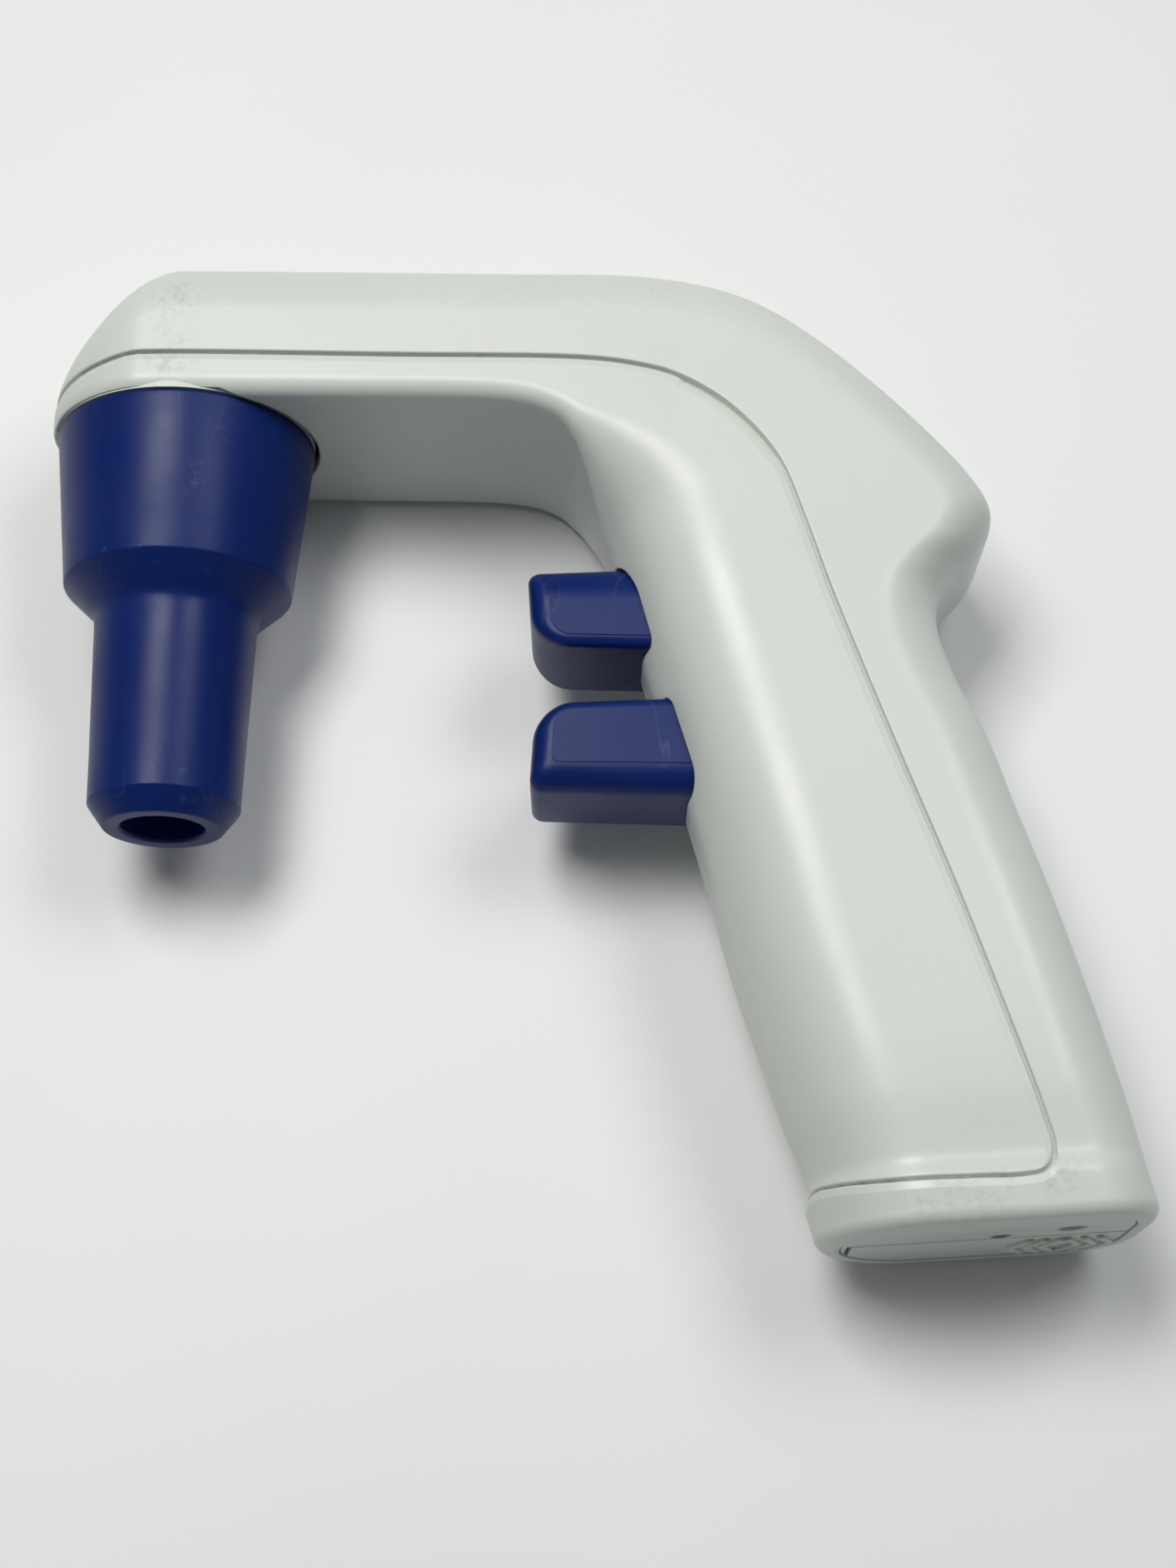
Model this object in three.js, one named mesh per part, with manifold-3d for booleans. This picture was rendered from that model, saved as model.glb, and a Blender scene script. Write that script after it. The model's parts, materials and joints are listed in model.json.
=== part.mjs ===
// Electronic pipette controller: a pistol-grip aid that fills and empties serological pipettes.
// It lies on its side. Every shape is drawn in the device frame: X runs along the barrel from the
// nose towards the grip, -Y is the way the nose cone points, and Z = 0 is the plane of symmetry.
// The exported group then sets it down on Z = 0 with its footprint centred on the origin.
// All sizes are in millimetres.
import * as THREE from 'three';
import { mergeVertices } from 'three/addons/utils/BufferGeometryUtils.js';
import Module from 'manifold-3d';

const wasm = await Module();
wasm.setup();

// ---- driving dimensions ----
const HALF_WIDTH = 19.5;
const WALL = 2.3;
const PANEL_GAP = 0.3;
const CLEAR = 0.3;
const NOSE_X = -61.5;
const HEAD_RADIUS = 20.2;
const HEAD_TOP_HEIGHT = 20;
const HEAD_TOP_POWER = 1.75;
const BARREL_TOP = 77.2;
const BARREL_UNDER = 53.4;
const FOOT_FILLET = 2.2;
const FOOT_WALL = 2.5;
const FOOT_TAPER = 0.13;
const TAPER_START_Y = -38;
const TAPER_LENGTH = 30;

// The housing is lofted from flat sections. Each row is one section's outer end (x, y) on the top
// and back of the device, and its inner end (x, y) on the barrel's underside and the grip's front.
const SECTIONS = [
  [NOSE_X, BARREL_TOP, NOSE_X, BARREL_UNDER],
  [-35, 77.2, -35, BARREL_UNDER],
  [-14, 77.1, -14, 53.1],
  [5, 76.9, -6, 51.3],
  [18, 75.0, -2.6, 48.1],
  [27, 71.6, -0.8, 44.7],
  [36, 65.4, 0.6, 41.1],
  [44.6, 57.7, 1.8, 37.8],
  [52, 49.9, 3, 34.4],
  [56.9, 43.8, 4, 31],
  [59.1, 38.9, 4.8, 28],
  [57.2, 33.6, 5.7, 24.8],
  [53.2, 29.2, 6.6, 21.5],
  [50.8, 25.2, 7.7, 17.5],
  [50.8, 19.9, 9.2, 12.5],
  [53.2, 12.5, 11.3, 5.5],
  [57.3, 3.7, 13.9, -3],
  [61, -7.2, 16.9, -13.5],
  [65.2, -19.2, 20.7, -28],
  [69.4, -32.6, 25.2, -42],
  [73.9, -48, 29.9, -56],
  [76.7, -58.5, 31.9, -63],
  [77.75, -62.1, 32.45, -65.2],
];

// Where the two housing shells meet, seen from the side: along the barrel, round the bend, down the
// grip and forward again above the foot.
const SEAM = [
  [-86, 57], [-73, 58.9], [-62, 59.7], [-29, 59.5], [-4, 59.4], [7, 58.2], [14, 55.8], [21, 50.8],
  [27, 43.2],
  [30.8, 33], [34.7, 21], [42.3, 0], [49.7, -19.8], [56.8, -40.3], [60.6, -51.5], [61.9, -56.3],
  [60.6, -59.2], [57, -60.1], [52, -60.3], [45.5, -60.6], [39, -61.1], [33, -62], [22, -64.5],
];

// ---- materials ----
function finish(color, roughness, metalness = 0) {
  return new THREE.MeshStandardMaterial({ color, roughness, metalness });
}

const SHELL_GREY = finish(0xd2d8d1, 0.45);
const DEEP_BLUE = finish(0x1e2f66, 0.4);
const DARK_SILICONE = finish(0x2b2d33, 0.7);
const WHITE_PLASTIC = finish(0xe6e6e2, 0.5);
const MEMBRANE_WHITE = finish(0xf4f4f0, 0.9);
const BLACK_PLASTIC = finish(0x1d1e20, 0.5);
const VALVE_RESIN = finish(0xcfd3d6, 0.35);
const BRIGHT_STEEL = finish(0xb9bcc0, 0.3, 1);
const BRASS = finish(0xc2a04e, 0.35, 1);
const BOARD_GREEN = finish(0x1f5a3a, 0.5);
const CELL_GREEN = finish(0x3f8f5a, 0.4);
const FOAM_GREY = finish(0x55575c, 0.95);
const LEAD_RED = finish(0xa32620, 0.5);
const LEAD_BLACK = finish(0x161616, 0.5);
const CLEAR_HOSE = finish(0xd8dcd6, 0.4);

// ---- solids ----
const device = new THREE.Group();

function weld(geometry) {
  const bare = geometry.clone();
  bare.deleteAttribute('normal');
  bare.deleteAttribute('uv');
  return mergeVertices(bare, 1e-4);
}

function solid(geometry) {
  const welded = weld(geometry);
  const source = welded.index.array;
  const corners = [];
  for (let i = 0; i < source.length; i += 3) {
    const [a, b, c] = [source[i], source[i + 1], source[i + 2]];
    if (a !== b && b !== c && c !== a) {
      corners.push(a, b, c);
    }
  }
  const mesh = new wasm.Mesh({
    numProp: 3,
    vertProperties: Float32Array.from(welded.attributes.position.array),
    triVerts: Uint32Array.from(corners),
  });
  return new wasm.Manifold(mesh);
}

function geometryOf(manifold) {
  const mesh = manifold.getMesh();
  const geometry = new THREE.BufferGeometry();
  geometry.setAttribute('position', new THREE.BufferAttribute(mesh.vertProperties, 3));
  geometry.setIndex(new THREE.BufferAttribute(mesh.triVerts, 1));
  geometry.computeVertexNormals();
  return geometry;
}

function piece(name, shape, material) {
  const geometry = shape.isBufferGeometry ? shape : geometryOf(shape);
  const mesh = new THREE.Mesh(geometry, material);
  mesh.name = name;
  device.add(mesh);
  return mesh;
}

function box(low, high) {
  const size = high.map((value, axis) => value - low[axis]);
  const geometry = new THREE.BoxGeometry(...size);
  return geometry.translate(...low.map((value, axis) => value + size[axis] / 2));
}

// A turned piece. The profile is a list of [radius, position along the axis], from low to high.
function turned(profile, sides = 20) {
  const points = profile.map(([radius, along]) => new THREE.Vector2(radius, along));
  return new THREE.LatheGeometry(points, sides);
}

function disc(radius, low, high, sides = 20) {
  return turned([[0, low], [radius, low], [radius, high], [0, high]], sides);
}

function ring(inner, outer, low, high, sides = 20) {
  return turned([[inner, low], [outer, low], [outer, high], [inner, high], [inner, low]], sides);
}

function alongX(geometry) {
  return geometry.rotateZ(-Math.PI / 2);
}

function alongZ(geometry) {
  return geometry.rotateX(Math.PI / 2);
}

function plate(outline, low, high) {
  const shape = new THREE.Shape(outline.map(([x, y]) => new THREE.Vector2(x, y)));
  return new THREE.ExtrudeGeometry(shape, { depth: high - low, bevelEnabled: false }).translate(0, 0, low);
}

function hose(route, radius, steps, sides = 8) {
  const curve = new THREE.CatmullRomCurve3(route.map((point) => new THREE.Vector3(...point)));
  const section = new THREE.Shape();
  for (let i = 0; i < sides; i += 1) {
    const angle = (2 * Math.PI * i) / sides;
    const corner = [radius * Math.cos(angle), radius * Math.sin(angle)];
    if (i === 0) {
      section.moveTo(...corner);
    } else {
      section.lineTo(...corner);
    }
  }
  return new THREE.ExtrudeGeometry(section, { steps, extrudePath: curve, bevelEnabled: false });
}

// Joins closed loops of equal length, one after the other, and caps the two ends.
function loft(loops) {
  const count = loops[0].length;
  const positions = loops.flat().flat();
  const faces = [];
  for (let row = 0; row < loops.length - 1; row += 1) {
    for (let j = 0; j < count; j += 1) {
      const a = row * count + j;
      const b = row * count + ((j + 1) % count);
      faces.push(a, b, b + count, a, b + count, a + count);
    }
  }
  const last = (loops.length - 1) * count;
  for (let j = 1; j < count - 1; j += 1) {
    faces.push(0, j + 1, j);
    faces.push(last, last + j, last + j + 1);
  }
  const geometry = new THREE.BufferGeometry();
  geometry.setAttribute('position', new THREE.Float32BufferAttribute(positions, 3));
  geometry.setIndex(faces);
  return geometry;
}

const THREAD = { lead: 3, root: 1.3, crest: 0.9 };

// A screw thread's ridge round the Y axis, right-handed, starting at height low.
function threadRidge(rootRadius, crestRadius, low, turns) {
  const stepsPerTurn = 12;
  const steps = Math.round(turns * stepsPerTurn);
  const loops = [];
  for (let i = 0; i <= steps; i += 1) {
    const angle = (2 * Math.PI * i) / stepsPerTurn;
    const height = low + (THREAD.lead * i) / stepsPerTurn;
    const corner = (radius, along) => [radius * Math.sin(angle), height + along, radius * Math.cos(angle)];
    loops.push([
      corner(rootRadius, -THREAD.root / 2),
      corner(rootRadius, THREAD.root / 2),
      corner(crestRadius, THREAD.crest / 2),
      corner(crestRadius, -THREAD.crest / 2),
    ]);
  }
  return loft(loops);
}

function closedOutward(geometry) {
  const shape = solid(geometry);
  if (shape.volume() > 0) {
    return shape;
  }
  const index = geometry.index.array;
  const flipped = [];
  for (let i = 0; i < index.length; i += 3) {
    flipped.push(index[i], index[i + 2], index[i + 1]);
  }
  geometry.setIndex(flipped);
  return solid(geometry);
}

// ---- housing shape ----
const outerEnds = new THREE.SplineCurve(SECTIONS.map((row) => new THREE.Vector2(row[0], row[1])));
const innerEnds = new THREE.SplineCurve(SECTIONS.map((row) => new THREE.Vector2(row[2], row[3])));

function smoothstep(value) {
  const t = THREE.MathUtils.clamp(value, 0, 1);
  return t * t * (3 - 2 * t);
}

// One closed loop of points round a section, moved in by inset. barrel is 1 on the barrel and 0 on
// the grip, and fullness is below 1 only on the rounded front of the head.
function sectionLoop(outer, inner, halfWidth, barrel, fullness, inset, cornerSteps) {
  const direction = outer.clone().sub(inner);
  const length = direction.length() - 2 * inset;
  direction.normalize();
  const half = Math.max(halfWidth - inset, 0);
  const mix = (onBarrel, onGrip) => barrel * onBarrel + (1 - barrel) * onGrip;
  const cap = (size, limit) => Math.min(Math.max(size - inset, 0.6), limit);
  const outerRound = half * (1 - 0.5 * fullness);
  const topWide = fullness < 1 ? outerRound : cap(mix(10, 13), half);
  const topDeep = cap(10, length * 0.6);
  const lowWide = cap(mix(3, 16.5), half * (fullness < 1 ? 0.5 : 1));
  const lowDeep = cap(mix(3, 15), length * 0.38);
  const side = [];
  for (let j = 0; j <= cornerSteps; j += 1) {
    const angle = (Math.PI / 2) * (j / cornerSteps);
    side.push([length - topDeep + topDeep * Math.cos(angle), half - topWide + topWide * Math.sin(angle)]);
  }
  for (let j = 0; j <= cornerSteps; j += 1) {
    const angle = (Math.PI / 2) * (j / cornerSteps);
    side.push([lowDeep - lowDeep * Math.sin(angle), half - lowWide + lowWide * Math.cos(angle)]);
  }
  const mirrored = side.map(([along, width]) => [along, -width]).reverse();
  return [...side, ...mirrored].map(([along, width]) => [
    inner.x + direction.x * (along + inset),
    inner.y + direction.y * (along + inset),
    width,
  ]);
}

function footWidth(y) {
  const depth = THREE.MathUtils.clamp((TAPER_START_Y - y) / TAPER_LENGTH, 0, 1);
  return HALF_WIDTH * (1 - FOOT_TAPER * depth * depth);
}

// The foot's end face: u runs along it from front to back, v is Z and w points out of the foot.
const lastSection = SECTIONS[SECTIONS.length - 1];
const footFront = new THREE.Vector2(lastSection[2], lastSection[3]);
const footBack = new THREE.Vector2(lastSection[0], lastSection[1]);
const footAlong = footBack.clone().sub(footFront).normalize();
const footOut = new THREE.Vector2(footAlong.y, -footAlong.x);
const footFrame = new THREE.Matrix4().makeBasis(
  new THREE.Vector3(footAlong.x, footAlong.y, 0),
  new THREE.Vector3(0, 0, 1),
  new THREE.Vector3(footOut.x, footOut.y, 0),
);
footFrame.setPosition(
  footFront.x + FOOT_FILLET * footOut.x,
  footFront.y + FOOT_FILLET * footOut.y,
  0,
);

function housingSolid(inset, headSteps, stepsPerSection, cornerSteps) {
  const loops = [];
  const headRadius = HEAD_RADIUS - inset;
  for (let i = 0; i < headSteps; i += 1) {
    const angle = (Math.PI / 2) * (i / headSteps);
    const x = NOSE_X - headRadius * Math.cos(angle);
    const reach = ((NOSE_X - x) / HEAD_RADIUS) ** HEAD_TOP_POWER;
    const height = Math.max(1 - reach, 0) ** (1 / HEAD_TOP_POWER);
    const top = BARREL_TOP - HEAD_TOP_HEIGHT * (1 - height);
    const halfWidth = Math.min(headRadius * Math.sin(angle) + inset, HALF_WIDTH);
    const outer = new THREE.Vector2(x, top);
    const inner = new THREE.Vector2(x, BARREL_UNDER);
    loops.push(sectionLoop(outer, inner, halfWidth, 1, Math.sin(angle), inset, cornerSteps));
  }
  const steps = (SECTIONS.length - 1) * stepsPerSection;
  for (let i = 0; i <= steps; i += 1) {
    const outer = outerEnds.getPoint(i / steps);
    const inner = innerEnds.getPoint(i / steps);
    const barrel = 1 - smoothstep((i / stepsPerSection - 3) / 5);
    const halfWidth = footWidth((outer.y + inner.y) / 2);
    loops.push(sectionLoop(outer, inner, halfWidth, barrel, 1, inset, cornerSteps));
  }
  const endWidth = footWidth((footBack.y + footFront.y) / 2);
  const endSection = (advance, shrink) => {
    const shift = footOut.clone().multiplyScalar(advance);
    const outer = footBack.clone().add(shift);
    const inner = footFront.clone().add(shift);
    return sectionLoop(outer, inner, endWidth, 0, 1, shrink, cornerSteps);
  };
  if (inset > 0) {
    loops.pop();
    loops.push(endSection(FOOT_FILLET - FOOT_WALL, inset));
  } else {
    const filletSteps = 3;
    for (let i = 1; i <= filletSteps; i += 1) {
      const angle = (Math.PI / 2) * (i / filletSteps);
      loops.push(endSection(FOOT_FILLET * Math.sin(angle), FOOT_FILLET * (1 - Math.cos(angle))));
    }
  }
  return closedOutward(loft(loops));
}

function seamRegion(growth) {
  const curve = new THREE.SplineCurve(SEAM.map(([x, y]) => new THREE.Vector2(x, y)));
  const samples = 44;
  const edge = [];
  for (let i = 0; i <= samples; i += 1) {
    const point = curve.getPoint(i / samples);
    const tangent = curve.getTangent(i / samples);
    edge.push([point.x - tangent.y * growth, point.y + tangent.x * growth]);
  }
  const low = edge[samples][1];
  return solid(plate([...edge, [-110, low], [-110, edge[0][1]]], -30, 30));
}

function inFoot(geometry) {
  return geometry.applyMatrix4(footFrame);
}

// ---- housing shells ----
const NOSE_HOLE_RADIUS = 14.4;
const BUTTON_HALF_Z = 10;
const BUTTON_CLEAR = 0.4;
const ASPIRATE = { low: 17.9, high: 31.6, front: -9.2, flange: 14.2 };
const DISPENSE = { low: -3.9, high: 9.7, front: -8.4, flange: 20.2 };
const LID = { start: 4, end: 44.6, depth: 15, corner: 6 };
const CHARGE_HOLE = { u: 24.4, v: 1.75, radius: 1.5 };
const DIMPLE = { u: 33.6, v: 5.1, radius: 2, depth: 0.8 };

function buttonOpening(button) {
  const low = [-6, button.low - BUTTON_CLEAR, -BUTTON_HALF_Z - BUTTON_CLEAR];
  const high = [button.flange - 0.3, button.high + BUTTON_CLEAR, BUTTON_HALF_Z + BUTTON_CLEAR];
  return solid(box(low, high));
}

function lidPrism(growth) {
  const start = LID.start - growth;
  const end = LID.end + growth;
  const depth = -LID.depth - growth;
  const outline = [
    [start, growth], [start, depth + LID.corner], [start + LID.corner, depth],
    [end - LID.corner, depth], [end - LID.corner / 3, depth + 0.6 * LID.corner],
    [end, depth + 1.4 * LID.corner], [end, growth],
  ];
  return solid(inFoot(plate(outline, -FOOT_WALL - 0.6, 1)));
}

const wall = housingSolid(0, 7, 1, 4).subtract(housingSolid(WALL, 4, 1, 2));
const noseHole = solid(disc(NOSE_HOLE_RADIUS, 50, 58, 32).translate(NOSE_X, 0, 0));
const chargeHole = solid(inFoot(disc(CHARGE_HOLE.radius, -4, 1, 16).rotateX(Math.PI / 2)
  .translate(CHARGE_HOLE.u, CHARGE_HOLE.v, 0)));
const dimple = solid(inFoot(disc(DIMPLE.radius, -DIMPLE.depth, 1, 16).rotateX(Math.PI / 2)
  .translate(DIMPLE.u, DIMPLE.v, 0)));

const frontShell = wall.intersect(seamRegion(-PANEL_GAP / 2))
  .subtract(noseHole)
  .subtract(buttonOpening(ASPIRATE))
  .subtract(buttonOpening(DISPENSE));
const rearShell = wall.subtract(seamRegion(PANEL_GAP / 2))
  .subtract(lidPrism(PANEL_GAP / 2))
  .subtract(chargeHole)
  .subtract(dimple);
piece('front_shell', frontShell, SHELL_GREY);
piece('rear_shell', rearShell, SHELL_GREY);

// ---- battery lid ----
// Two groups of raised arrow ridges show which way the lid comes off.
const CHEVRON = { halfHeight: 5, depth: 2.2, width: 0.9, centre: -7.2, rise: 0.4, pitch: 2.25 };

function chevron(u, pointing) {
  const { halfHeight, depth, width, centre, rise } = CHEVRON;
  const arm = pointing * depth;
  const band = pointing * width;
  const outline = [
    [u, centre], [u + arm, centre + halfHeight], [u + arm + band, centre + halfHeight],
    [u + band, centre], [u + arm + band, centre - halfHeight], [u + arm, centre - halfHeight],
  ];
  return solid(inFoot(plate(outline, -0.4, rise)));
}

function batteryLid() {
  let lid = wall.intersect(lidPrism(-PANEL_GAP / 2));
  for (let i = 0; i < 3; i += 1) {
    lid = lid.add(chevron(26.4 + i * CHEVRON.pitch, 1));
    lid = lid.add(chevron(37 + i * CHEVRON.pitch, -1));
  }
  for (const start of [8, 32]) {
    lid = lid.add(solid(inFoot(box([start, -2.4, -6], [start + 5, -1.2, -FOOT_WALL + 0.3]))));
  }
  return lid;
}
piece('battery_lid', batteryLid(), SHELL_GREY);

// ---- nose: threaded spigot, screw-on cone, adapter and filter ----
const SPIGOT = { radius: 13.5, crest: 14.5, bore: 9.9, low: 33, ledge: 42.3, threadLow: 37 };
const SPIGOT_FLANGE = { low: BARREL_UNDER + WALL + CLEAR, thickness: 2.6, radius: 16.6 };
const SCREW_CIRCLE = 15;
const SCREW_ANGLES = [30, 150, 270];

function noseSpigot() {
  const flangeLow = SPIGOT_FLANGE.low;
  const flangeHigh = flangeLow + SPIGOT_FLANGE.thickness;
  const body = solid(turned([
    [SPIGOT.bore, SPIGOT.low], [SPIGOT.radius, SPIGOT.low], [SPIGOT.radius, flangeLow],
    [SPIGOT_FLANGE.radius, flangeLow], [SPIGOT_FLANGE.radius, flangeHigh],
    [2.5, flangeHigh], [2.5, flangeHigh + 5],
    [1.3, flangeHigh + 5], [1.3, flangeLow], [6, flangeLow], [6, SPIGOT.ledge],
    [SPIGOT.bore, SPIGOT.ledge], [SPIGOT.bore, SPIGOT.low],
  ], 24));
  const ridge = threadRidge(SPIGOT.radius - 0.4, SPIGOT.crest, SPIGOT.threadLow, 3);
  let spigot = body.add(closedOutward(ridge));
  for (const angle of SCREW_ANGLES) {
    const screwHole = disc(1.3, flangeLow - 1, flangeHigh + 1, 12);
    spigot = spigot.subtract(solid(screwHole.translate(...onCircle(SCREW_CIRCLE, angle))));
  }
  return spigot.translate([NOSE_X, 0, 0]);
}

function onCircle(radius, degrees) {
  const angle = THREE.MathUtils.degToRad(degrees);
  return [radius * Math.cos(angle), 0, radius * Math.sin(angle)];
}

function noseCone() {
  const body = solid(turned([
    [6.05, -7.6], [8.75, -7.6], [11.05, -4], [12, 24], [12.5, 25.2], [16.6, 29.6], [17.1, 31],
    [19.4, 52.9], [18.9, 53.1 - CLEAR], [15.3, 53.1 - CLEAR], [15.1, 33.2], [9.6, 26.5],
    [9.6, -2.9], [6.05, -2.9], [6.05, -7.6],
  ], 32));
  const ridge = threadRidge(15.5, 14.1, SPIGOT.threadLow + THREAD.lead / 2, 2);
  return body.add(closedOutward(ridge)).translate([NOSE_X, 0, 0]);
}

function onNose(geometry) {
  return geometry.translate(NOSE_X, 0, 0);
}

piece('nose_spigot', noseSpigot(), WHITE_PLASTIC);
piece('nose_cone', noseCone(), DEEP_BLUE);
piece('pipette_adapter', onNose(turned([
  [5.7, -2.5], [9.1, -2.5], [9.1, 23.8], [3.6, 23.8], [3.6, 18.4], [3, 17.4], [3, 6], [5.7, -2.5],
])), DARK_SILICONE);
piece('filter_holder_lower', onNose(turned([
  [1.5, 19], [3.3, 19], [3.3, 24.2], [8.8, 24.2], [8.8, 27], [1.5, 27], [1.5, 19],
])), WHITE_PLASTIC);
piece('filter_membrane', onNose(disc(7.8, 27.3, 27.8)), MEMBRANE_WHITE);
piece('filter_holder_upper', onNose(turned([
  [1.4, 28.1], [8.8, 28.1], [8.8, 30.8], [3, 30.8], [3, 37], [1.4, 37], [1.4, 28.1],
])), WHITE_PLASTIC);
piece('filter_seat_seal', onNose(ring(2.2, 9.5, 37.4, 42, 20)), DARK_SILICONE);

SCREW_ANGLES.forEach((angle, index) => {
  const seat = SPIGOT_FLANGE.low + SPIGOT_FLANGE.thickness;
  const screw = turned([
    [0, seat - 2.4], [0.95, seat - 2.4], [0.95, seat + 0.3], [1.5, seat + 0.3], [1.5, seat + 1.3],
    [0, seat + 1.3],
  ], 12);
  const [x, , z] = onCircle(SCREW_CIRCLE, angle);
  piece(`spigot_screw_${index + 1}`, screw.translate(NOSE_X + x, 0, z), BRIGHT_STEEL);
});

// ---- buttons with their stems, springs and seals ----
const BLOCK = { front: 31, back: 46, low: -3, high: 31, halfZ: 8.6, nippleZ: [-5, 0, 5], nippleX: 40 };
const BEVEL = 2;
const PLATE = { thickness: 1.5, overlap: 1.2 };

// The side view of a button: its front corner next to the other button is the round one.
function buttonBody(button, roundSide) {
  const { low, high, front, flange } = button;
  const shape = new THREE.Shape();
  const [bottom, top] = [low + BEVEL, high - BEVEL];
  const nose = front + BEVEL;
  const rear = flange + 1 - BEVEL;
  const round = 3.6;
  if (roundSide < 0) {
    shape.moveTo(rear, bottom);
    shape.lineTo(rear, top);
    shape.lineTo(nose, top);
    shape.lineTo(nose, bottom + round);
    shape.quadraticCurveTo(nose, bottom, nose + round, bottom);
  } else {
    shape.moveTo(rear, top);
    shape.lineTo(rear, bottom);
    shape.lineTo(nose, bottom);
    shape.lineTo(nose, top - round);
    shape.quadraticCurveTo(nose, top, nose + round, top);
  }
  const options = {
    depth: 2 * (BUTTON_HALF_Z - BEVEL), bevelSize: BEVEL, bevelThickness: BEVEL, bevelSegments: 2,
    curveSegments: 4,
  };
  const cap = new THREE.ExtrudeGeometry(shape, options).translate(0, 0, -BUTTON_HALF_Z + BEVEL);
  const widest = BUTTON_HALF_Z + PLATE.overlap;
  const plateLow = [flange, low - PLATE.overlap, -widest];
  const plateHigh = [flange + PLATE.thickness, high + PLATE.overlap, widest];
  const axis = (low + high) / 2;
  const tab = box([flange + 1, axis - 2, 9.6], [24, axis + 2, widest]);
  return closedOutward(cap).add(solid(box(plateLow, plateHigh))).add(solid(tab));
}

function coil(radius, wire, low, high, turns, height) {
  const stepsPerTurn = 8;
  const sides = 4;
  const steps = turns * stepsPerTurn;
  const loops = [];
  for (let i = 0; i <= steps; i += 1) {
    const angle = (2 * Math.PI * i) / stepsPerTurn;
    const x = low + ((high - low) * i) / steps;
    const loop = [];
    for (let j = 0; j < sides; j += 1) {
      const turn = (2 * Math.PI * j) / sides;
      const reach = radius + wire * Math.cos(turn);
      loop.push([x + wire * Math.sin(turn), height + reach * Math.cos(angle), reach * Math.sin(angle)]);
    }
    loops.push(loop);
  }
  return closedOutward(loft(loops));
}

function stem(axis, start) {
  return alongX(turned([
    [0, start], [1.3, start], [1.3, 33.4], [2.6, 33.4], [2.6, 34.4], [1.8, 34.4], [1.8, 36.2],
    [2.6, 36.2], [2.6, 37.4], [0, 37.4],
  ], 16)).translate(0, axis, 0);
}

for (const [name, button, roundSide] of [['aspirate', ASPIRATE, -1], ['dispense', DISPENSE, 1]]) {
  const axis = (button.low + button.high) / 2;
  const back = button.flange + PLATE.thickness + CLEAR;
  const seal = alongX(ring(2.1, 2.7, 34.7, 35.9, 16)).translate(0, axis, 0);
  const spring = coil(3.2, 0.35, back + 0.4, BLOCK.front - 0.7, 4, axis);
  piece(`${name}_button`, buttonBody(button, roundSide), DEEP_BLUE);
  piece(`${name}_valve_stem`, stem(axis, back), BRIGHT_STEEL);
  piece(`${name}_stem_seal`, seal, DARK_SILICONE);
  piece(`${name}_return_spring`, spring, BRIGHT_STEEL);
}

// ---- valve block and its cover ----
function valveBlock() {
  const lowCorner = [BLOCK.front, BLOCK.low, -BLOCK.halfZ];
  const highCorner = [BLOCK.back, BLOCK.high, BLOCK.halfZ];
  let block = solid(box(lowCorner, highCorner));
  for (const button of [ASPIRATE, DISPENSE]) {
    const axis = (button.low + button.high) / 2;
    block = block.subtract(solid(alongX(disc(3, BLOCK.front - 1, 43, 20)).translate(0, axis, 0)));
  }
  for (const z of BLOCK.nippleZ) {
    const nipple = disc(1.9, BLOCK.high - 1, BLOCK.high + 3.5, 12).translate(BLOCK.nippleX, 0, z);
    block = block.add(solid(nipple));
  }
  for (const z of BLOCK.nippleZ) {
    const bore = disc(0.9, BLOCK.high - 6, BLOCK.high + 5, 10).translate(BLOCK.nippleX, 0, z);
    block = block.subtract(solid(bore));
  }
  return block;
}
piece('valve_block', valveBlock(), VALVE_RESIN);
piece('valve_cover', box(
  [BLOCK.back + CLEAR, BLOCK.low + 1, -7.5],
  [BLOCK.back + 1.6, BLOCK.high - 4, 7.5],
), VALVE_RESIN);

// ---- pump ----
const PUMP = { axisY: 63.4, motorRadius: 7.4, motorStart: -18, motorEnd: 10 };
const HEAD = { back: -32, front: -16, low: 57.6, high: 68.2 };

function onPumpAxis(geometry) {
  return alongX(geometry).translate(0, PUMP.axisY, 0);
}

piece('pump_motor', onPumpAxis(turned([
  [0, PUMP.motorStart + 0.8], [3, PUMP.motorStart + 0.8], [3, PUMP.motorStart],
  [PUMP.motorRadius, PUMP.motorStart], [PUMP.motorRadius, PUMP.motorEnd - 2.3], [0, PUMP.motorEnd - 2.3],
])), BRIGHT_STEEL);
piece('motor_end_cap', onPumpAxis(turned([
  [0, PUMP.motorEnd - 2], [6.8, PUMP.motorEnd - 2], [6.8, PUMP.motorEnd], [0, PUMP.motorEnd],
])), BLACK_PLASTIC);
piece('motor_shaft', onPumpAxis(disc(1, -27.4, PUMP.motorStart + 0.5, 12)), BRIGHT_STEEL);

const ECCENTRIC = { radius: 3.2, offset: 0.8, low: -26, high: -22 };
piece('pump_eccentric', solid(onPumpAxis(disc(ECCENTRIC.radius, ECCENTRIC.low, ECCENTRIC.high, 24))
  .translate(0, ECCENTRIC.offset, 0))
  .subtract(solid(onPumpAxis(disc(1 + CLEAR, ECCENTRIC.low - 1, ECCENTRIC.high + 1, 12)))), BRASS);

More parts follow.
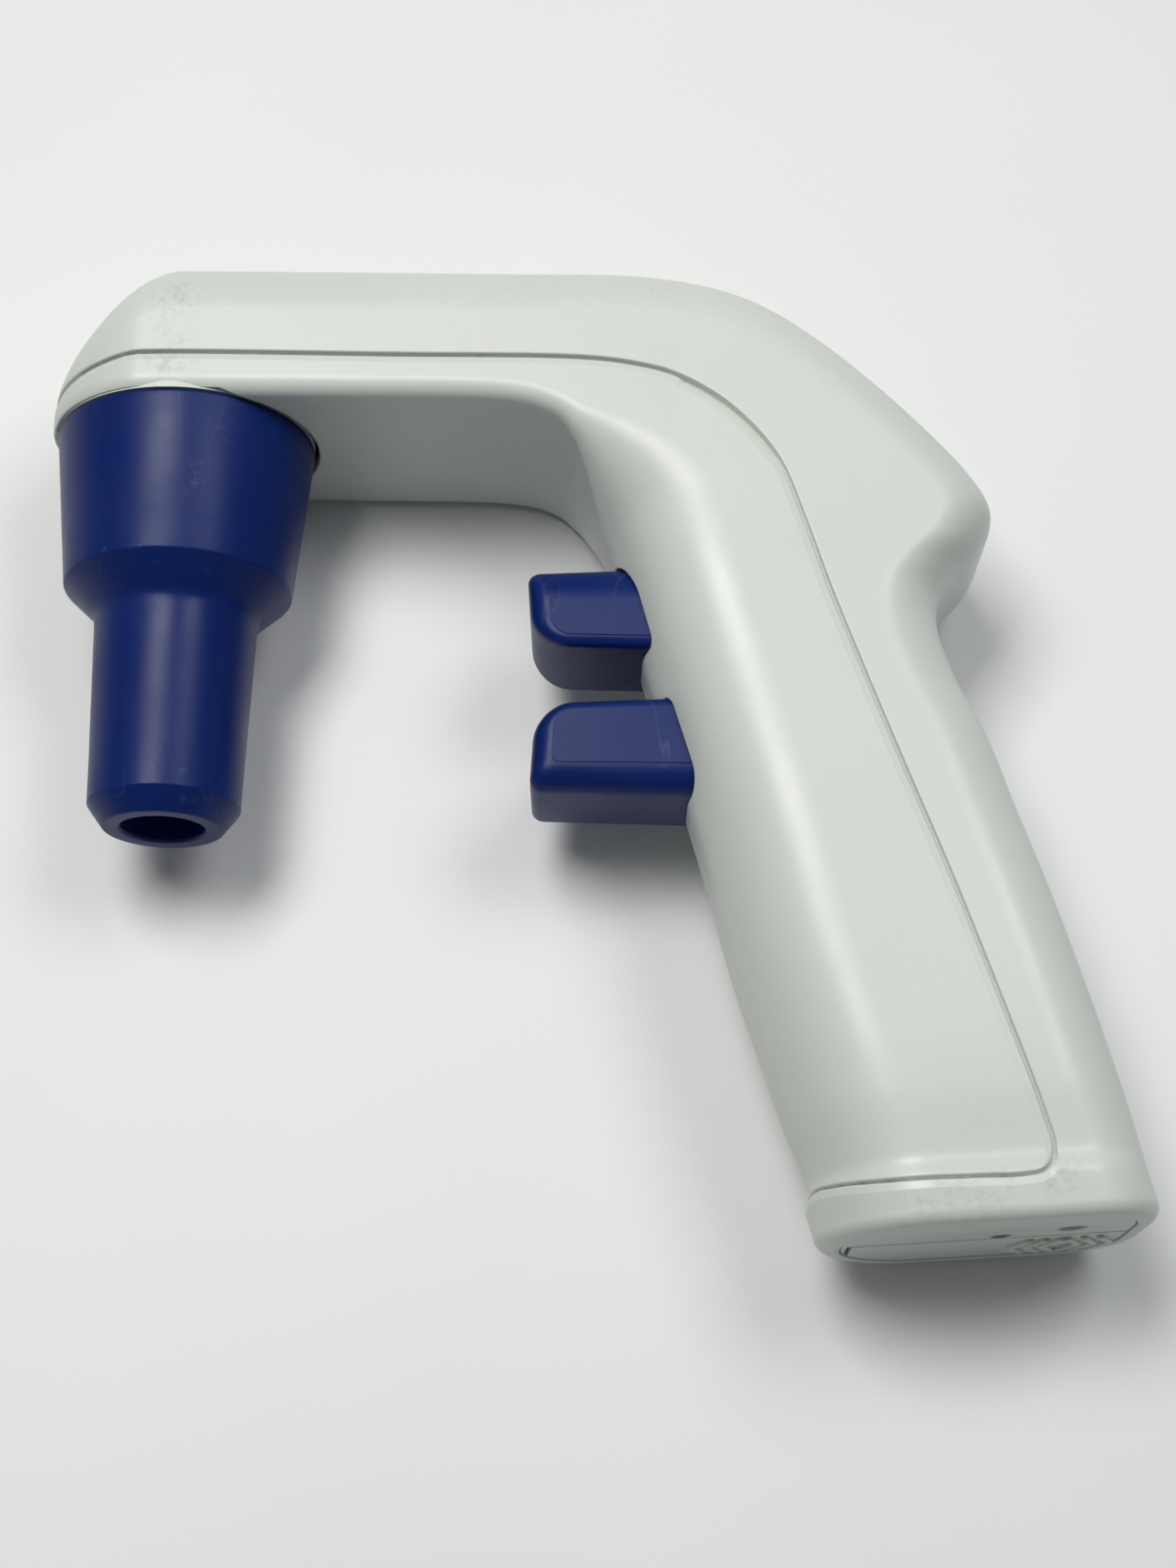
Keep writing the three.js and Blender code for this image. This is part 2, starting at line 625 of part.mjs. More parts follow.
// The rod's big end is bored wide enough for the eccentric to turn freely inside it.
function connectingRod() {
  const bigEnd = solid(onPumpAxis(disc(5.6, ECCENTRIC.low + 0.4, ECCENTRIC.high - 0.4, 24)));
  const arm = solid(box(
    [ECCENTRIC.low + 0.4, PUMP.axisY - 1.6, 4],
    [ECCENTRIC.high - 0.4, PUMP.axisY + 1.6, 8],
  ));
  const bore = solid(onPumpAxis(disc(ECCENTRIC.radius + ECCENTRIC.offset + CLEAR, -28, -20, 24)));
  return bigEnd.add(arm).subtract(bore);
}
piece('connecting_rod', connectingRod(), BLACK_PLASTIC);

const SCREW_INSET = 1.9;
const SCREW_SPOTS = [
  [HEAD.back + SCREW_INSET, HEAD.low + SCREW_INSET], [HEAD.back + SCREW_INSET, HEAD.high - SCREW_INSET],
  [HEAD.front - SCREW_INSET, HEAD.low + SCREW_INSET], [HEAD.front - SCREW_INSET, HEAD.high - SCREW_INSET],
];
const DIAPHRAGM_Y = PUMP.axisY - 0.3;

function drilled(shape, radius, low, high) {
  return SCREW_SPOTS.reduce(
    (rest, [x, y]) => rest.subtract(solid(alongZ(disc(radius, low, high, 10)).translate(x, y, 0))),
    shape,
  );
}

function pumpFrame() {
  const motorPlate = solid(box([-20.6, 56.4, -8], [-18.4, 70.8, 10.2]));
  const headPlate = solid(box([HEAD.back, HEAD.low, 9], [HEAD.front, HEAD.high, 10.2]));
  const shaftHole = solid(onPumpAxis(disc(3.4, -22, -17, 20)));
  const diaphragmHole = solid(alongZ(disc(4, 8, 11, 20)).translate(-24, DIAPHRAGM_Y, 0));
  const frame = motorPlate.add(headPlate).subtract(shaftHole).subtract(diaphragmHole);
  return drilled(frame, 1.05, 8, 11);
}
piece('pump_frame', pumpFrame(), BRIGHT_STEEL);
piece('pump_diaphragm', solid(alongZ(turned([
  [0, 8.3], [2, 8.3], [2, 10.5], [4.6, 10.5], [4.6, 11.3], [0, 11.3],
], 20)).translate(-24, DIAPHRAGM_Y, 0)), DARK_SILICONE);
piece('pump_valve_plate', drilled(
  solid(box([HEAD.back, HEAD.low, 11.6], [HEAD.front, HEAD.high, 13.1])),
  1.05,
  11,
  14,
), VALVE_RESIN);

const PORT_HEIGHTS = [60.4, 65.4];

function pumpHead() {
  let head = solid(box([HEAD.back, HEAD.low, 13.4], [HEAD.front, HEAD.high, 16.2]));
  for (const y of PORT_HEIGHTS) {
    head = head.add(solid(alongX(disc(1.3, HEAD.back - 4, HEAD.back + 1, 12)).translate(0, y, 14.8)));
    head = head.subtract(solid(alongX(disc(0.6, HEAD.back - 5, HEAD.back + 5, 8)).translate(0, y, 14.8)));
  }
  return drilled(head, 1.05, 13, 17);
}
piece('pump_head', pumpHead(), VALVE_RESIN);
SCREW_SPOTS.forEach(([x, y], index) => {
  const screw = alongZ(turned([
    [0, 9.2], [0.75, 9.2], [0.75, 16.5], [1.4, 16.5], [1.4, 16.9], [0, 16.9],
  ], 10));
  piece(`pump_screw_${index + 1}`, screw.translate(x, y, 0), BRIGHT_STEEL);
});

// ---- hoses held inside the housing ----
piece('nose_hose', hose([
  [NOSE_X, 64.8, 0], [-60.5, 68, -2], [-55, 69, -7], [-46, 68, -12], [-20, 66, -13.5], [8, 65, -13.5],
  [24, 58, -12], [34, 46, -9], [39, 39.5, -6], [40, 35.8, -5],
], 1.7, 18), CLEAR_HOSE);
piece('suction_hose', hose([
  [HEAD.back - 4.4, PORT_HEIGHTS[0], 14.8], [-42, 60.4, 14], [-45, 60.4, 6], [-42, 59.6, -5],
  [-30, 58.6, -9.8], [-10, 58.4, -10.4], [6, 57, -10], [20, 51.5, -6], [33, 44, -1.5], [39, 38, 0], [40, 35, 0],
], 1.3, 22, 6), CLEAR_HOSE);
piece('pressure_hose', hose([
  [HEAD.back - 4.4, PORT_HEIGHTS[1], 14.8], [-40, 65.6, 14.4], [-43, 69, 10], [-38, 72.4, 3],
  [-24, 72.8, 2.6], [-6, 72.9, 1.6], [6, 72.4, 3], [17, 67, 8], [28, 56, 8.5], [37, 43, 6.5], [40, 38, 5.2], [40, 35, 5],
], 1.3, 22, 6), CLEAR_HOSE);

// ---- batteries, charging socket and electronics in the grip ----
const CELL = { radius: 7, length: 49, tilt: THREE.MathUtils.degToRad(16), z: -8.9 };

function cell(footX, footY) {
  const turnedCell = turned([
    [0, 0], [CELL.radius, 0], [CELL.radius, CELL.length - 1], [2.6, CELL.length - 1],
    [2.6, CELL.length], [0, CELL.length],
  ]);
  return turnedCell.rotateZ(CELL.tilt).translate(footX, footY, CELL.z);
}
piece('battery_cell_front', cell(47.3, -57.4), CELL_GREEN);
piece('battery_cell_rear', cell(62.3, -54), CELL_GREEN);
const tray = box([-16, 0, -1.3], [16, 44, -0.3]).rotateZ(CELL.tilt).translate(53, -51, 0);
const strap = box([-11, 0, -12], [11, 0.6, -5]).rotateZ(CELL.tilt).translate(40.6, -6.6, 0);
piece('battery_tray', tray, BLACK_PLASTIC);
piece('battery_strap', strap, BRIGHT_STEEL);
piece('foam_pad', inFoot(box([14, -13, -5.4], [36, -3.2, -3.2])), FOAM_GREY);

function chargeSocket() {
  const body = ring(1.3, 3.1, -12, -FOOT_WALL - CLEAR, 16).rotateX(Math.PI / 2);
  return inFoot(body.translate(CHARGE_HOLE.u, CHARGE_HOLE.v, 0));
}
piece('charge_socket', chargeSocket(), BLACK_PLASTIC);

const BOARD = { width: 15, length: 46, low: 12.6, high: 14 };
piece('circuit_board', box(
  [-BOARD.width / 2, -BOARD.length / 2, BOARD.low],
  [BOARD.width / 2, BOARD.length / 2, BOARD.high],
).rotateZ(CELL.tilt).translate(38.6, 6, 0), BOARD_GREEN);
for (const [name, button] of [['aspirate', ASPIRATE], ['dispense', DISPENSE]]) {
  const axis = (button.low + button.high) / 2;
  piece(`${name}_switch`, box([29.5, axis - 3, 9], [35.5, axis + 3, 12.3]), BLACK_PLASTIC);
}
piece('motor_connector', box([29.5, 15, 14.3], [34.5, 19, 16.3]), WHITE_PLASTIC);
piece('battery_lead_red', hose([
  [52, -6.2, -11], [53.5, -3.4, -10], [53.6, 0, -6], [53.2, 4, 0], [51.6, 6, 6], [48, 6, 10.4],
  [44.5, 5.4, 11.8],
], 0.6, 10, 6), LEAD_RED);
piece('battery_lead_black', hose([
  [51.6, -4.9, -6.3], [51.8, -3.4, -3.6], [51.8, -2.2, 0], [51.8, -2, 5], [50.6, -2.2, 9],
  [48.6, -2.4, 11.8],
], 0.6, 10, 6), LEAD_BLACK);

// ---- set the device down on its side, centred on the origin ----
const extent = new THREE.Box3().setFromObject(device);
const middle = extent.getCenter(new THREE.Vector3());
device.position.set(-middle.x, -middle.y, -extent.min.z);

export default device;
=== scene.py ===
"""Looks for the pipette controller: fine shells, nose cone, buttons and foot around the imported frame."""

import json
import math

import bmesh
import bpy
import numpy as np
from mathutils import Matrix, Vector


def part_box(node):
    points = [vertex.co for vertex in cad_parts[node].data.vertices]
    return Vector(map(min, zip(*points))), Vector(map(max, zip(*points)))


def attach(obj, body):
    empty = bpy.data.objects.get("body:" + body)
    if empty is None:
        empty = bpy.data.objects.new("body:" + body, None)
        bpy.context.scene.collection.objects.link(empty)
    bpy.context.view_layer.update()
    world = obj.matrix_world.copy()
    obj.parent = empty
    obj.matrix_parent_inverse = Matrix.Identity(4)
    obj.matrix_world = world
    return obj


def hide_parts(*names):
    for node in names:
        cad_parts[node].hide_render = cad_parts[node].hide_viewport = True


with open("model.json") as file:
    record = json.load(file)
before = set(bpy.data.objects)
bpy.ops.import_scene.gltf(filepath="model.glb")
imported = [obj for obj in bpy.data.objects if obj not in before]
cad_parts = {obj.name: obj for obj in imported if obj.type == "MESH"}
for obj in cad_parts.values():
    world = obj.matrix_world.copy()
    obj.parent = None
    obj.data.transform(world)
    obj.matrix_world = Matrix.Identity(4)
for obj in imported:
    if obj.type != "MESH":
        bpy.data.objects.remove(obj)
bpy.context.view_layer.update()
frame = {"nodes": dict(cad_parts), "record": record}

# ---- driving dimensions, in millimetres, in the device frame of the CAD model ----
MM = 0.001
HALF_WIDTH = 19.5
WALL = 2.0
SEAT_RECESS = 0.6
NOSE_X = -61.5
CONE_END_Y = -7.6
HEAD_RADIUS = 20.2
HEAD_TOP_HEIGHT = 20
HEAD_TOP_POWER = 1.45
BARREL_TOP = 77.2
BARREL_UNDER = 53.4
FOOT_FILLET = 2.2
FOOT_TAPER = 0.13
TAPER_START_Y = -38
TAPER_LENGTH = 30
GAP = 0.27
EDGE_ROUND = 0.3
SEAM_ROUND_WIDTH = 1.05
SEAM_ROUND_DEPTH = 0.36
TONGUE_DEPTH = 1.15
TONGUE_WIDTH = 0.9
TONGUE_WALL = 0.9
TONGUE_OVERLAP = 0.05
CELL = 0.9

# Outer end (x, y) and inner end (x, y) of each section of the housing, as in the CAD model.
SECTIONS = np.array([
    (NOSE_X, BARREL_TOP, NOSE_X, BARREL_UNDER), (-35, 77.2, -35, BARREL_UNDER), (-14, 77.1, -14, 53.1),
    (5, 76.9, -6, 51.3), (18, 75.0, -2.6, 48.1), (27, 71.6, -0.8, 44.7), (36, 65.4, 0.6, 41.1),
    (44.6, 57.7, 1.8, 37.8), (52, 49.9, 3, 34.4), (56.9, 43.8, 4, 31), (59.1, 38.9, 4.8, 28),
    (57.2, 33.6, 5.7, 24.8), (53.2, 29.2, 6.6, 21.5), (50.8, 25.2, 7.7, 17.5), (50.8, 19.9, 9.2, 12.5),
    (53.2, 12.5, 11.3, 5.5), (57.3, 3.7, 13.9, -3), (61, -7.2, 16.9, -13.5), (65.2, -19.2, 20.7, -28),
    (69.4, -32.6, 25.2, -42), (73.9, -48, 29.9, -56), (76.7, -58.5, 31.9, -63), (77.75, -62.1, 32.45, -65.2),
])

# Where the two housing shells meet, seen from the side.
SEAM = np.array([
    (-86, 57), (-73, 58.9), (-62, 59.7), (-29, 59.5), (-4, 59.4), (7, 58.2), (14, 55.8), (21, 50.8),
    (27, 43.2), (30.8, 33), (34.7, 21), (42.3, 0), (49.7, -19.8), (56.8, -40.3), (60.6, -51.5),
    (61.9, -56.3), (60.6, -59.2), (57, -60.1), (52, -60.3), (45.5, -60.6), (39, -60.8), (33.5, -60.5),
    (30, -60.1), (22, -59.8),
])

# The slot for a prising tool, between two lengths of the seam.
SLOT_FROM = (12.9, 56.5)
SLOT_TO = (27.0, 43.6)
SLOT_WIDTH = 0.42
SLOT_FADES = (0.5, 0.7)
SLOT_EXTRA_DEPTH = 0.3

# The two buttons are rounder on the sides that face away from each other, and their front corners
# are rounder and set back where they face each other.
BUTTONS = {
    "aspirate": {
        "low": 17.9, "high": 31.6, "front": -9.2, "rear": 11.4, "low_round": 1.5, "high_round": 6.2,
        "corner": "low", "set_back": 1.0,
    },
    "dispense": {
        "low": -3.9, "high": 9.7, "front": -8.4, "rear": 17.4, "low_round": 3.8, "high_round": 1.4,
        "corner": "high", "set_back": 0.7,
    },
}
BUTTON_HALF_Z = 10
BUTTON_CLEAR = 0.3
BUTTON_HOLE_END_X = 25
NOSE_SEAT_RADIUS = 20.0
NOSE_HOLE = 14.4
SEAT_RING_RADIUS = 19.3
SEAT_RING_THICKNESS = 1.1


def device_shift():
    """How far the device frame's origin is from the row's origin, in metres."""
    low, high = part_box("nose_cone")
    return Vector((
        (low[0] + high[0]) / 2 - NOSE_X * MM,
        low[1] - CONE_END_Y * MM,
        (low[2] + high[2]) / 2,
    ))


SHIFT = device_shift()


def placed(points):
    """Device points in millimetres as row points in metres."""
    return np.asarray(points, float) * MM + np.array(SHIFT)


# ---- camera, lights and floor ----
CAMERA = {"tilt": 19.1, "turn": 0.5, "lens": 58.5, "distance": 0.371}
LIGHT_TARGET = Vector((0, 0.03, 0))
LIGHT_SIZE = (0.46, 0.34)
FLOOR_HALF = 3.0
FLOOR_DROP = 0.0002


def add_camera():
    """Looks down on the object as it lies, leaning back over the foot's end."""
    tilt = math.radians(CAMERA["tilt"])
    turn = Matrix.Rotation(math.radians(CAMERA["turn"]), 3, "Z")
    forward = turn @ Vector((0, math.sin(tilt), -math.cos(tilt)))
    up = turn @ Vector((0, math.cos(tilt), math.sin(tilt)))
    right = forward.cross(up)
    camera = bpy.data.objects.new("camera", bpy.data.cameras.new("camera"))
    camera.data.lens = CAMERA["lens"]
    camera.data.clip_start = 0.01
    camera.data.clip_end = 20
    rotation = Matrix((right, up, -forward)).transposed().to_4x4()
    camera.matrix_world = Matrix.Translation(SHIFT - forward * CAMERA["distance"]) @ rotation
    bpy.context.scene.collection.objects.link(camera)
    bpy.context.scene.camera = camera


def add_area_light(name, place, power, color):
    light = bpy.data.lights.new(name, "AREA")
    light.shape = "RECTANGLE"
    light.size = LIGHT_SIZE[0]
    light.size_y = LIGHT_SIZE[1]
    light.energy = power
    light.color = color
    lamp = bpy.data.objects.new(name, light)
    direction = LIGHT_TARGET - Vector(place)
    rotation = direction.to_track_quat("-Z", "Y").to_matrix().to_4x4()
    lamp.matrix_world = Matrix.Translation(Vector(place)) @ rotation
    bpy.context.scene.collection.objects.link(lamp)


def add_studio():
    """Two soft lights overhead in a dim room, so that surfaces facing away from them stay dark."""
    world = bpy.data.worlds.new("studio")
    bpy.context.scene.world = world
    world.use_nodes = True
    background = world.node_tree.nodes["Background"]
    background.inputs["Color"].default_value = (0.95, 0.97, 1.0, 1)
    background.inputs["Strength"].default_value = 0.17
    add_area_light("left", (-0.27, 0.25, 0.94), 6.9, (1, 0.99, 0.97))
    add_area_light("right", (0.44, 0.3, 0.9), 3.1, (0.98, 0.99, 1))
    bpy.context.scene.view_settings.view_transform = "Standard"


def add_floor():
    mesh = bpy.data.meshes.new("floor")
    corners = [(-1, -1), (1, -1), (1, 1), (-1, 1)]
    points = [(x * FLOOR_HALF, y * FLOOR_HALF, -FLOOR_DROP) for x, y in corners]
    mesh.from_pydata(points, [], [(0, 1, 2, 3)])
    floor = bpy.data.objects.new("floor", mesh)
    bpy.context.scene.collection.objects.link(floor)
    mesh.materials.append(floor_material())


# ---- material building ----
class Nodes:
    """A short way to build a material's node tree."""

    def __init__(self, name):
        self.material = bpy.data.materials.new(name)
        self.material.use_nodes = True
        self.tree = self.material.node_tree
        self.shader = self.tree.nodes["Principled BSDF"]

    def add(self, kind, inputs=None, **settings):
        node = self.tree.nodes.new(kind)
        for key, value in settings.items():
            setattr(node, key, value)
        for key, value in (inputs or {}).items():
            self.feed(node.inputs[key], value)
        return node

    def feed(self, socket, value):
        if isinstance(value, bpy.types.NodeSocket):
            self.tree.links.new(value, socket)
        else:
            socket.default_value = value

    def point(self):
        return self.add("ShaderNodeTexCoord").outputs["Object"]

    def noise(self, scale, detail=4.0, roughness=0.5, stretch=None):
        vector = self.point()
        if stretch:
            mapping = self.add("ShaderNodeMapping", {"Vector": vector})
            mapping.inputs["Scale"].default_value = stretch
            vector = mapping.outputs["Vector"]
        node = self.add("ShaderNodeTexNoise", {
            "Vector": vector, "Scale": scale, "Detail": detail, "Roughness": roughness,
        })
        return node.outputs["Fac"]

    def ramp(self, value, low, high, from_value=0.0, to_value=1.0):
        node = self.add("ShaderNodeMapRange", {
            "Value": value, "From Min": low, "From Max": high, "To Min": from_value, "To Max": to_value,
        }, clamp=True)
        return node.outputs["Result"]

    def math(self, operation, first, second):
        node = self.add("ShaderNodeMath", operation=operation)
        self.feed(node.inputs[0], first)
        self.feed(node.inputs[1], second)
        return node.outputs["Value"]

    def mix(self, factor, first, second):
        node = self.add("ShaderNodeMix", data_type="RGBA")
        self.feed(node.inputs["Factor"], factor)
        self.feed(node.inputs["A"], first)
        self.feed(node.inputs["B"], second)
        return node.outputs["Result"]

    def bump(self, height, strength, distance):
        node = self.add("ShaderNodeBump", {"Height": height, "Strength": strength, "Distance": distance})
        self.feed(self.shader.inputs["Normal"], node.outputs["Normal"])

    def near(self, centre, radius):
        """1 at a place on the device, in millimetres, falling to 0 at the radius."""
        target = Vector(centre) * MM + SHIFT
        node = self.add("ShaderNodeVectorMath", operation="DISTANCE")
        self.feed(node.inputs[0], self.point())
        node.inputs[1].default_value = target
        return self.ramp(node.outputs["Value"], radius * MM, 0.25 * radius * MM)

    def set(self, **values):
        for name, value in values.items():
            self.feed(self.shader.inputs[name.replace("_", " ").title()], value)


def floor_material():
    m = Nodes("bench")
    tone = m.ramp(m.noise(9, 3), 0.35, 0.65)
    m.set(base_color=m.mix(tone, (0.735, 0.745, 0.74, 1), (0.755, 0.765, 0.76, 1)), roughness=0.5)
    m.bump(m.noise(900, 3), 0.03, 0.0003)
    return m.material


def scratches(m, scale, amount, squeeze=1.0):
    """A mask of thin scattered marks: the narrow crossings of a stretched noise."""
    stretched = m.noise(scale, 2, 0.5, stretch=(squeeze, 0.22, 1.0))
    thin = m.ramp(m.math("ABSOLUTE", m.math("SUBTRACT", stretched, 0.5), 0), 0.004, 0.0)
    sparse = m.ramp(m.noise(scale * 0.35, 2), 1 - amount, 1 - amount * 0.6)
    return m.math("MULTIPLY", thin, sparse)


GRIME_ELSEWHERE = 0.03


def grime(m, places, amount):
    """Speckled dirt, thick at the places and thin elsewhere. A place is a centre and a radius in mm."""
    speckle = m.ramp(m.noise(800, 6, 0.7), 0.46, 0.64)
    patch = m.ramp(m.noise(160, 3), 0.36, 0.6)
    near = None
    for centre, radius in places:
        mask = m.near(centre, radius)
        near = mask if near is None else m.math("MAXIMUM", near, mask)
    spread = m.math("ADD", m.math("MULTIPLY", near, amount), GRIME_ELSEWHERE)
    return m.math("MULTIPLY", m.math("MULTIPLY", speckle, patch), spread)


# On the head above the cone, and on the foot beside the seam.
SHELL_GRIME = [
    ((-61, 68, 19), 5), ((-61, 63, 19), 5), ((-62, 57.5, 19), 5), ((55, -62, 18), 5),
    ((50, -64, 17), 6), ((62, -60, 18), 4), ((70, -64, 12), 6), ((44, -65, 16), 5),
]


def shell_material():
    m = Nodes("shell_plastic")
    pale = m.mix(m.ramp(m.noise(14, 3), 0.3, 0.7), (0.575, 0.615, 0.575, 1), (0.61, 0.64, 0.59, 1))
    stained = m.mix(grime(m, SHELL_GRIME, 0.38), pale, (0.26, 0.27, 0.245, 1))
    marks = scratches(m, 55, 0.42)
    m.set(
        base_color=m.mix(m.math("MULTIPLY", marks, 0.16), stained, (0.42, 0.44, 0.40, 1)),
        roughness=m.ramp(m.noise(70, 4), 0.3, 0.7, 0.33, 0.42),
    )
    m.shader.inputs["Subsurface Weight"].default_value = 0.05
    m.shader.inputs["Subsurface Radius"].default_value = (0.003, 0.003, 0.0025)
    m.bump(m.noise(1700, 3, 0.6), 0.05, 0.00008)
    return m.material


def blue_material():
    m = Nodes("blue_plastic")
    cloud = m.ramp(m.noise(25, 4), 0.3, 0.7)
    deep = m.mix(cloud, (0.001, 0.0115, 0.1, 1), (0.0015, 0.0155, 0.118, 1))
    scuff = m.math("MULTIPLY", m.ramp(m.noise(420, 5, 0.7), 0.58, 0.7), m.ramp(m.noise(60, 3), 0.54, 0.7))
    marks = scratches(m, 70, 0.5, 1.3)
    worn = m.math("MAXIMUM", m.math("MULTIPLY", scuff, 0.3), m.math("MULTIPLY", marks, 0.5))
    m.set(
        base_color=m.mix(worn, deep, (0.16, 0.19, 0.33, 1)),
        roughness=m.ramp(m.noise(90, 4), 0.3, 0.7, 0.32, 0.43),
    )
    m.shader.inputs["Specular IOR Level"].default_value = 0.2
    m.bump(m.noise(2100, 3, 0.6), 0.06, 0.00008)
    return m.material


def soft_material(name, color, roughness, grain=900, strength=0.08):
    """A plain moulded or rubbery surface with slight colour drift and a fine grain."""
    m = Nodes(name)
    darker = (*(channel * 0.86 for channel in color), 1)
    m.set(
        base_color=m.mix(m.ramp(m.noise(60, 4), 0.35, 0.65), darker, (*color, 1)),
        roughness=m.ramp(m.noise(120, 3), 0.3, 0.7, roughness - 0.05, roughness + 0.06),
    )
    m.bump(m.noise(grain, 4), strength, 0.0002)
    return m.material


def metal_material(name, color, roughness):
    m = Nodes(name)
    streak = m.noise(160, 4, 0.6, stretch=(0.15, 1.0, 1.0))
    darker = (*(channel * 0.8 for channel in color), 1)
    m.set(
        base_color=m.mix(m.ramp(streak, 0.3, 0.7), darker, (*color, 1)),
        roughness=m.ramp(streak, 0.3, 0.7, roughness - 0.06, roughness + 0.1),
    )
    m.shader.inputs["Metallic"].default_value = 1.0
    m.bump(streak, 0.05, 0.0002)
    return m.material


# ---- housing surface ----
def spline(points, parameter):
    """Uniform Catmull-Rom through the points; the parameter counts points from 0."""
    points = np.asarray(points, float)
    last = len(points) - 1
    start = np.clip(np.floor(parameter).astype(int), 0, last - 1)
    t = (parameter - start)[:, None]
    before = points[np.maximum(start - 1, 0)]
    here = points[start]
    after = points[start + 1]
    beyond = points[np.minimum(start + 2, last)]
    slope_in = 0.5 * (after - before)
    slope_out = 0.5 * (beyond - here)
    cubic = (2 * here - 2 * after + slope_in + slope_out) * t**3
    square = (-3 * here + 3 * after - 2 * slope_in - slope_out) * t**2
    return cubic + square + slope_in * t + here


def smoothstep(value):
    t = np.clip(value, 0, 1)
    return t * t * (3 - 2 * t)


def foot_width(y):
    depth = np.clip((TAPER_START_Y - y) / TAPER_LENGTH, 0, 1)
    return HALF_WIDTH * (1 - FOOT_TAPER * depth**2)


COUNTS = {"top": 5, "outer": 16, "side": 46, "inner": 20, "under": 7}
# Corner sizes of a section, on the barrel and on the grip. Wide is across the section, and deep is
# along its outer-to-inner line.
OUTER_WIDE = (10, 13)
OUTER_DEEP = 10
INNER_WIDE = (2.6, 16.5)
INNER_DEEP = (2.6, 15)
OUTER_DEEP_LIMIT = 0.6
INNER_DEEP_LIMIT = 0.38
SMALLEST_CORNER = 0.6


def section_loop(outer, inner, half, barrel, fullness=1.0, inset=0.0):
    """One closed loop of points round a section, from its outer to its inner end and back.

    Half is half its width, barrel is 1 on the barrel and 0 on the grip, fullness falls below 1 towards
    the head's tip, and inset moves the loop in all round.
    """
    direction = outer - inner
    length = np.hypot(*direction) - 2 * inset
    direction = direction / np.hypot(*direction)
    half = max(half - inset, 0)

    def mix(on_barrel, on_grip):
        return barrel * on_barrel + (1 - barrel) * on_grip

    def cap(size, limit):
        return min(max(size - inset, SMALLEST_CORNER), limit)

    on_head = fullness < 1
    outer_wide = half * (1 - 0.5 * fullness) if on_head else cap(mix(*OUTER_WIDE), half)
    outer_deep = cap(OUTER_DEEP, length * OUTER_DEEP_LIMIT)
    inner_wide = cap(mix(*INNER_WIDE), half * (0.5 if on_head else 1))
    inner_deep = cap(mix(*INNER_DEEP), length * INNER_DEEP_LIMIT)
    outer_flat = half - outer_wide
    inner_flat = half - inner_wide
    shoulder = length - outer_deep
    top = [(length, outer_flat * i / COUNTS["top"]) for i in range(COUNTS["top"])]
    outer_turn = [
        (shoulder + outer_deep * math.cos(a), outer_flat + outer_wide * math.sin(a))
        for a in np.linspace(0, math.pi / 2, COUNTS["outer"], endpoint=False)
    ]
    side = [(u, half) for u in np.linspace(shoulder, inner_deep, COUNTS["side"], endpoint=False)]
    inner_turn = [
        (inner_deep * (1 - math.sin(a)), inner_flat + inner_wide * math.cos(a))
        for a in np.linspace(0, math.pi / 2, COUNTS["inner"], endpoint=False)
    ]
    under = [(0, w) for w in np.linspace(inner_flat, 0, COUNTS["under"] + 1)]
    run = top + outer_turn + side + inner_turn + under
    run += [(u, -w) for u, w in reversed(run[1:-1])]
    run = np.array(run)
    flat = inner + direction * (run[:, :1] + inset)
    return np.column_stack([flat, run[:, 1]])


FOOT_FRONT = SECTIONS[-1, 2:]
FOOT_BACK = SECTIONS[-1, :2]
FOOT_ALONG = (FOOT_BACK - FOOT_FRONT) / np.hypot(*(FOOT_BACK - FOOT_FRONT))
FOOT_OUT = np.array([FOOT_ALONG[1], -FOOT_ALONG[0]])
RIM_WIDTH = 0.9
RIM_EDGE = 0.15
RIM_EDGE_MIDDLE = 0.04
RIM_STEP = 1.8
FLOOR_DEPTH = 0.25


def foot_loop(advance, shrink):
    """A loop round the foot, advance millimetres past the last section and shrunk all round."""
    width = foot_width((FOOT_BACK[1] + FOOT_FRONT[1]) / 2)
    shift = FOOT_OUT * advance
    return section_loop(FOOT_BACK + shift, FOOT_FRONT + shift, width, 0.0, 1.0, shrink)


def head_loops(steps):
    """The barrel's rounded front end, from its tip to the first section."""
    loops = []
    for i in range(steps):
        angle = math.pi / 2 * i / steps
        x = NOSE_X - HEAD_RADIUS * math.cos(angle)
        reach = ((NOSE_X - x) / HEAD_RADIUS) ** HEAD_TOP_POWER
        height = max(1 - reach, 0) ** (1 / HEAD_TOP_POWER)
        top = BARREL_TOP - HEAD_TOP_HEIGHT * (1 - height)
        half = min(HEAD_RADIUS * math.sin(angle), HALF_WIDTH)
        ends = np.array([x, top]), np.array([x, BARREL_UNDER])
        loops.append(section_loop(*ends, half, 1.0, math.sin(angle)))
    return loops


BARREL_ROWS = 3
BARREL_TO_GRIP_ROWS = 5


def body_loops():
    """Loops about CELL apart along the sections, from the barrel to the foot."""
    steps = []
    for row in range(len(SECTIONS) - 1):
        spread = np.abs(SECTIONS[row + 1] - SECTIONS[row])
        reach = max(np.hypot(*spread[:2]), np.hypot(*spread[2:]))
        count = math.ceil(reach / CELL)
        steps.extend(row + np.arange(count) / count)
    steps.append(len(SECTIONS) - 1)
    steps = np.array(steps)
    ends = spline(SECTIONS, steps)
    barrel = 1 - smoothstep((steps - BARREL_ROWS) / BARREL_TO_GRIP_ROWS)
    loops = []
    for end, share in zip(ends, barrel):
        half = foot_width((end[1] + end[3]) / 2)
        loops.append(section_loop(end[:2], end[2:], half, share))
    return loops


